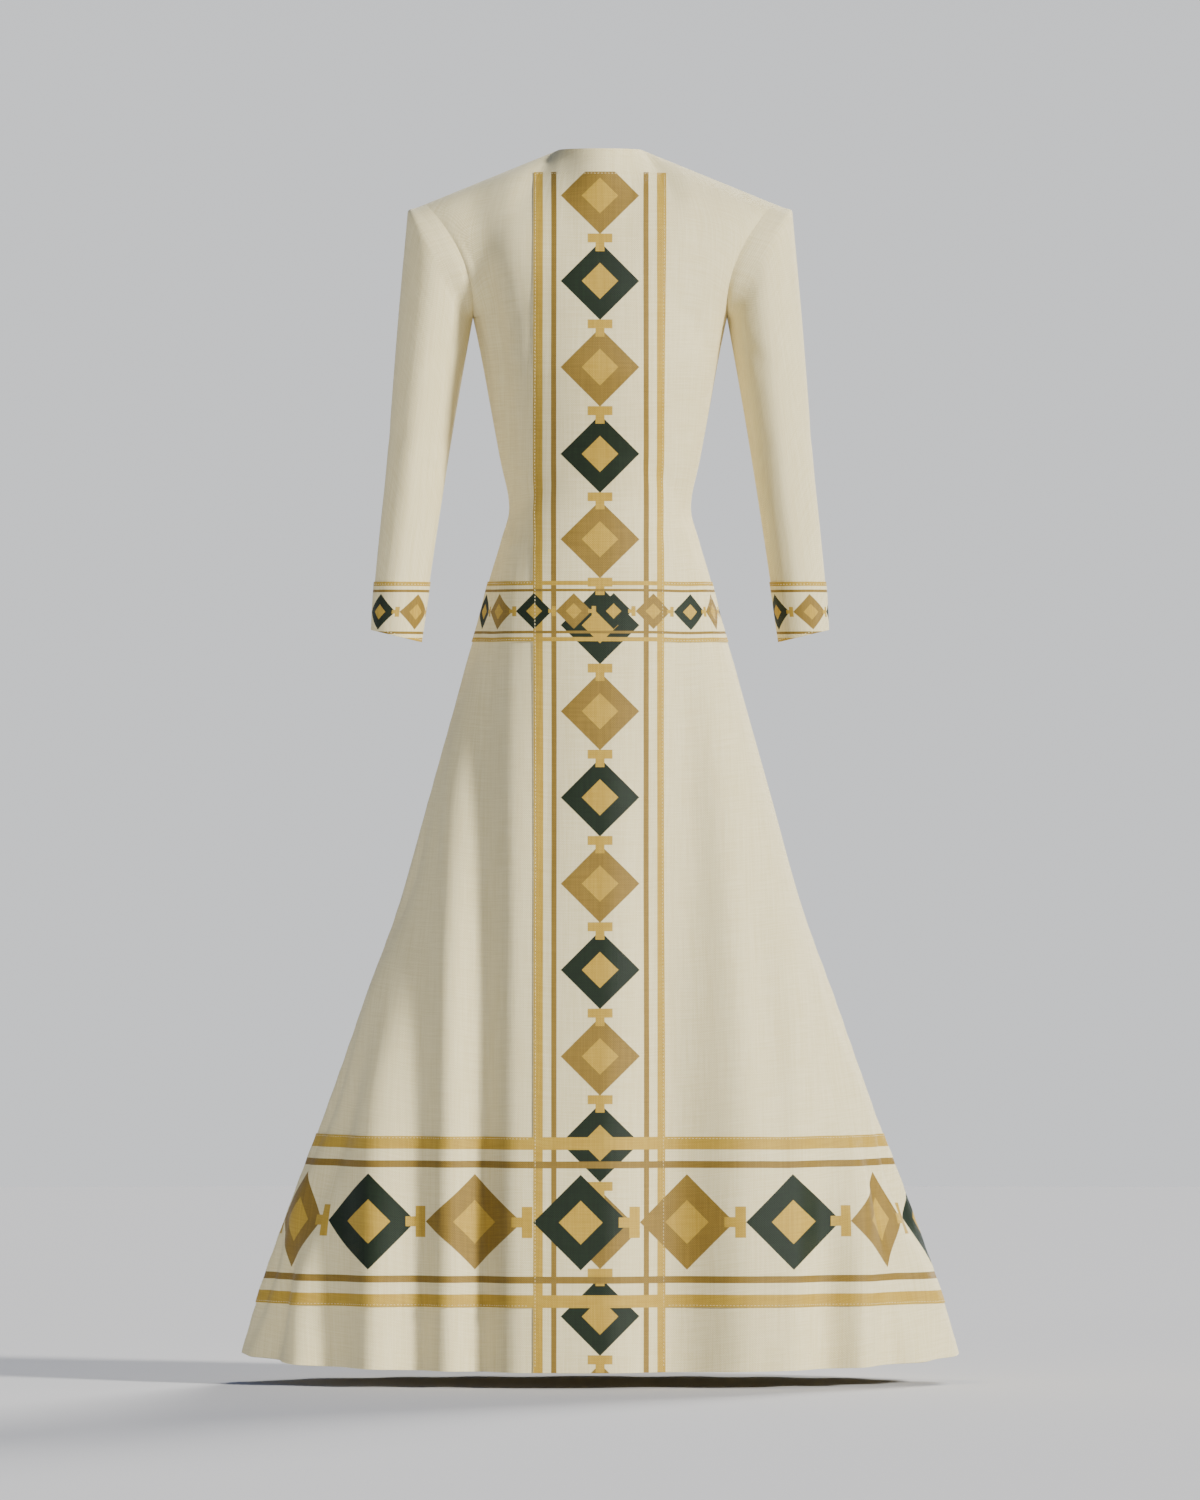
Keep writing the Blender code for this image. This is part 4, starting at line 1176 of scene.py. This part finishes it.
def painted_floor(sizes, paint_colour):
    """A round floor of matt paint: rings of points, which lie closer together by the dress."""
    turns = np.linspace(0.0, 2.0 * math.pi, FLOOR_SIDES, endpoint=False)
    radii = np.linspace(0.0, 1.0, sizes.floor_rings + 1)[1:] ** FLOOR_CROWDING
    ring = np.stack((np.cos(turns), np.sin(turns), np.zeros_like(turns)), axis=-1)
    points = ((radii * sizes.floor_radius)[:, None, None] * ring).reshape(-1, 3)
    mesh = bpy.data.meshes.new("studio_floor")
    mesh.from_pydata((points + (0.0, 0.0, CAD_BOX[0][2] - sizes.floor_drop)).tolist(), [],
                     [tuple(range(FLOOR_SIDES)), *ring_faces(len(radii), FLOOR_SIDES).tolist()])
    mesh.shade_smooth()
    paint, tree = new_material("studio floor paint")
    surface = add(tree, "BsdfPrincipled", {"Base Color": paint_colour, "Roughness": 0.9,
                                           "Specular IOR Level": 0.1})
    add(tree, "OutputMaterial", {"Surface": surface})
    mesh.materials.append(paint)
    return put_in_studio("studio_floor", mesh)


def studio_sky():
    """A world that is pale from below and blue from above, with a soft change between."""
    world = bpy.data.worlds.new("studio")
    world.use_nodes = True
    tree = world.node_tree
    tree.nodes.clear()
    upward = add(tree, "SeparateXYZ", {"Vector": add(tree, "TexCoord").outputs["Generated"]})
    height = add(tree, "MapRange", {"Value": upward.outputs["Z"], "From Min": SKY_CHANGES[0],
                                    "From Max": SKY_CHANGES[1]},
                 interpolation_type="SMOOTHSTEP")
    sky = add(tree, "Mix", {FACTOR: height, BELOW: srgb(SKY_BELOW), ABOVE: srgb(SKY_ABOVE)},
              data_type="RGBA")
    glow = add(tree, "Background", {"Color": sky, "Strength": 1.0})
    add(tree, "OutputWorld", {"Surface": glow})
    return world


# ---------------------------------------------------------------------------------------
# Operators.

class KEMIS_OT_front(bpy.types.Operator):
    """Makes the front, cut in one from the shoulders to the hem"""

    bl_idname = "kemis.front"
    bl_label = "Front"

    def execute(self, context):
        item = cotton_piece("kemis_front", surfaces()["front"], np.s_[:], BODY_TURN_ROWS)
        stands_for("front_panel")
        return {"FINISHED"}


class KEMIS_OT_back(bpy.types.Operator):
    """Makes the two backs, which meet at the centre-back seam and the neck slit"""

    bl_idname = "kemis.back"
    bl_label = "Back"

    def execute(self, context):
        surface = surfaces()["back"]
        in_slit = np.clip(1.0 + surface.points[:, MIDDLE_COLUMN, 2] / SLIT_LENGTH, 0.0, 1.0)
        apart = SEAM_GAP + SLIT_OPENING * np.sin(math.pi * in_slit)
        for hand, part in (("right", np.s_[:, :MIDDLE_COLUMN + 1]),
                           ("left", np.s_[:, MIDDLE_COLUMN:])):
            points = surface.points.copy()
            points[:, MIDDLE_COLUMN, 0] += apart / 2 * HANDS[hand]
            item = cotton_piece(f"kemis_back_{hand}", surface._replace(points=points), part,
                                BODY_TURN_ROWS)
            stands_for(f"back_{hand}")
        return {"FINISHED"}


class KEMIS_OT_sleeves(bpy.types.Operator):
    """Makes both sleeves, each a tube from the armhole to the cuff"""

    bl_idname = "kemis.sleeves"
    bl_label = "Sleeves"

    def execute(self, context):
        for hand in HANDS:
            item = cotton_piece(f"kemis_sleeve_{hand}", surfaces()[hand], np.s_[:],
                                SLEEVE_TURN_ROWS)
            stands_for(f"sleeve_{hand}")
        return {"FINISHED"}


class KEMIS_OT_bands(bpy.types.Operator):
    """Makes the tibeb bands: down the front, and round the hips, the hem and the cuffs"""

    bl_idname = "kemis.bands"
    bl_label = "Tibeb bands"

    def execute(self, context):
        strip = np.s_[row_at(CENTRE_BAND_TOP_Z):,
                      MIDDLE_COLUMN - INNER_COLUMNS:MIDDLE_COLUMN + INNER_COLUMNS + 1]
        item = tibeb_piece("tibeb_centre_front", surfaces()["front"], strip, "centre front")
        stands_for("centre_front_band")
        for label, (top, bottom) in BANDS.items():
            rows = slice(row_at(top), row_at(bottom) + 1)
            for side, reach in (("front", INNER_COLUMNS), ("back", 0)):
                parts = {"right": np.s_[rows, :MIDDLE_COLUMN - reach + 1],
                         "left": np.s_[rows, MIDDLE_COLUMN + reach:]}
                for hand, part in parts.items():
                    item = tibeb_piece(f"tibeb_{label}_{side}_{hand}", surfaces()[side], part,
                                       label)
                    stands_for(f"{label}_band_{side}_{hand}")
        for hand in HANDS:
            item = tibeb_piece(f"tibeb_cuff_{hand}", surfaces()[hand], np.s_[cuff_row():],
                               f"{hand} cuff")
            stands_for(f"cuff_band_{hand}")
        return {"FINISHED"}


class KEMIS_OT_stitching(bpy.types.Operator):
    """Sews the bands on, and tops the neck, the slit and the hem with stitches"""

    bl_idname = "kemis.stitching"
    bl_label = "Stitching"

    def execute(self, context):
        sizes = context.scene.kemis_sizes
        front, back = surfaces()["front"], surfaces()["back"]
        on_band = BAND_LIFT + BAND_CLOTH
        inset = STITCH_INSET / ROW_STEP
        last_row = len(front.points) - 1
        top = row_at(CENTRE_BAND_TOP_Z) + inset
        down = np.arange(top, last_row - inset, STITCH_STEP)
        edge = INNER_COLUMNS * (1.0 - STITCH_INSET / CENTRE_BAND_HALF_WIDTH)
        right, left = MIDDLE_COLUMN - edge, MIDDLE_COLUMN + edge
        sewn = {"centre_band": [(front, down, right, on_band), (front, down, left, on_band),
                                (front, top, np.arange(right, left), on_band)],
                "bands": [], "edges": []}
        for band_top, band_bottom in BANDS.values():
            for row in (row_at(band_top) + inset, row_at(band_bottom) - inset):
                for side in ("front", "back"):
                    sewn["bands"] += level_lines(side, row, on_band)
        around = np.arange(0.0, SLEEVE_COLUMNS, STITCH_STEP)
        for hand in HANDS:
            sleeve = surfaces()[hand]
            sewn["bands"] += [(sleeve, row, around, on_band) for row in (
                cuff_row() + CUFF_CLEAR, len(sleeve.points) - 1 - CUFF_CLEAR)]
        for side in ("front", "back"):
            sewn["edges"] += level_lines(side, last_row - HEM_STITCH_RISE / ROW_STEP, 0.0)
            across = np.linspace(NECK_STITCH_START_X[side], NECK_STITCH_END_X, NECK_STITCH_POINTS)
            sewn["edges"] += [(surfaces()[side], *near_neck(way * across, -drop), 0.0)
                              for drop in NECK_STITCH_DROPS for way in (-1, 1)]
        slit = np.linspace(-NECK_STITCH_DROPS[-1], -SLIT_LENGTH, SLIT_STITCH_POINTS)
        sewn["edges"] += [(back, *near_neck(way * SLIT_STITCH_X, slit), 0.0) for way in (-1, 1)]
        for group, lines in sewn.items():
            stitch_mesh(f"stitches_{group}",
                        [stitch_line(*sample(*line), sizes) for line in lines],
                        sizes.stitch_radius)
        return {"FINISHED"}


class KEMIS_OT_button(bpy.types.Operator):
    """Gives the neck button its moulded finish, its thread and its loop"""

    bl_idname = "kemis.button"
    bl_label = "Neck button"

    def execute(self, context):
        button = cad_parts["neck_button"]
        button.data.materials.clear()
        button.data.materials.append(material("button"))
        back = surfaces()["back"]
        low, high = (np.array(corner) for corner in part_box("neck_button"))
        centre = 0.5 * (low + high)
        _, normal = sample(back, *near_neck(centre[[0]], centre[[2]]), 0.0)
        across = unit(np.cross(normal, (0.0, 0.0, 1.0)))
        up = np.cross(across, normal)
        top = centre + normal * BUTTON_THICKNESS * 0.5
        starts, ends = (np.concatenate([top + CROSS_REACH * (way * across + lift * up)
                                        for way, lift in corners])
                        for corners in (((-1, -1), (-1, 1)), ((1, 1), (1, -1))))
        crossed = Stitches(starts, ends, np.repeat(normal, 2, axis=0))
        stitch_mesh("button_thread", [crossed], CROSS_RADIUS)
        turns = np.radians(np.linspace(LOOP_TURN, -LOOP_TURN, LOOP_POINTS))
        reach = BUTTON_RADIUS + LOOP_RADIUS
        x = np.concatenate((LOOP_ENDS_X, centre[0] + reach * np.cos(turns), LOOP_ENDS_X[::-1]))
        z = np.pad(centre[2] + reach * np.sin(turns), len(LOOP_ENDS_X), mode="edge")
        path, _ = sample(back, *near_neck(x, z), LOOP_RADIUS)
        thread_tube("button_loop", path, LOOP_RADIUS)
        return {"FINISHED"}


class KEMIS_OT_stage(bpy.types.Operator):
    """Makes the pale floor, the soft lights and the camera"""

    bl_idname = "kemis.stage"
    bl_label = "Studio"

    def execute(self, context):
        sizes = context.scene.kemis_sizes
        painted_floor(sizes, context.scene.kemis_colours.floor)
        context.scene.world = studio_sky()
        for name, turn, lift, spread, power in SUNS:
            lamp = bpy.data.lights.new(name, "SUN")
            lamp.angle = math.radians(spread)
            lamp.energy = power
            put_in_studio(name, lamp, turn=(math.radians(90.0 - lift), 0.0, math.radians(turn)))
        lamp = bpy.data.lights.new("softbox", "AREA")
        lamp.shape = "RECTANGLE"
        lamp.size, lamp.size_y = SOFTBOX_SIZE
        lamp.spread = math.radians(SOFTBOX_SPREAD)
        lamp.energy = SOFTBOX_POWER
        aim = Vector(SOFTBOX_AIM) - Vector(SOFTBOX_PLACE)
        put_in_studio("softbox", lamp, SOFTBOX_PLACE, aim.to_track_quat("-Z", "Y").to_euler())
        lens = bpy.data.cameras.new("camera")
        lens.lens = lens.sensor_width * sizes.camera_distance / sizes.frame_height
        lens.clip_end = VIEW_END
        context.scene.camera = put_in_studio(
            "camera", lens, (0.0, -sizes.camera_distance, sizes.frame_middle_z),
            (math.radians(90.0), 0.0, 0.0))
        return {"FINISHED"}


class KEMIS_PT_panel(bpy.types.Panel):
    """Lists the dress's makers and their settings"""

    bl_idname = "KEMIS_PT_panel"
    bl_label = "Habesha kemis"
    bl_space_type = "VIEW_3D"
    bl_region_type = "UI"
    bl_category = "Kemis"

    def draw(self, context):
        for operator in OPERATORS:
            self.layout.operator(operator.bl_idname)
        for group in (context.scene.kemis_colours, context.scene.kemis_sizes):
            for name in group.__annotations__:
                self.layout.prop(group, name)


OPERATORS = (KEMIS_OT_front, KEMIS_OT_back, KEMIS_OT_sleeves, KEMIS_OT_bands,
             KEMIS_OT_stitching, KEMIS_OT_button, KEMIS_OT_stage)
CLASSES = (KemisColours, KemisSizes, *OPERATORS, KEMIS_PT_panel)


def register():
    """Registers the add-on's classes and settings."""
    for item in CLASSES:
        bpy.utils.register_class(item)
    bpy.types.Scene.kemis_colours = PointerProperty(type=KemisColours)
    bpy.types.Scene.kemis_sizes = PointerProperty(type=KemisSizes)


def unregister():
    """Removes what register added."""
    del bpy.types.Scene.kemis_sizes
    del bpy.types.Scene.kemis_colours
    for item in reversed(CLASSES):
        bpy.utils.unregister_class(item)


def main():
    """Makes every piece in order."""
    register()
    bpy.ops.kemis.front()
    bpy.ops.kemis.back()
    bpy.ops.kemis.sleeves()
    bpy.ops.kemis.bands()
    bpy.ops.kemis.stitching()
    bpy.ops.kemis.button()
    bpy.ops.kemis.stage()


if __name__ == "__main__":
    main()
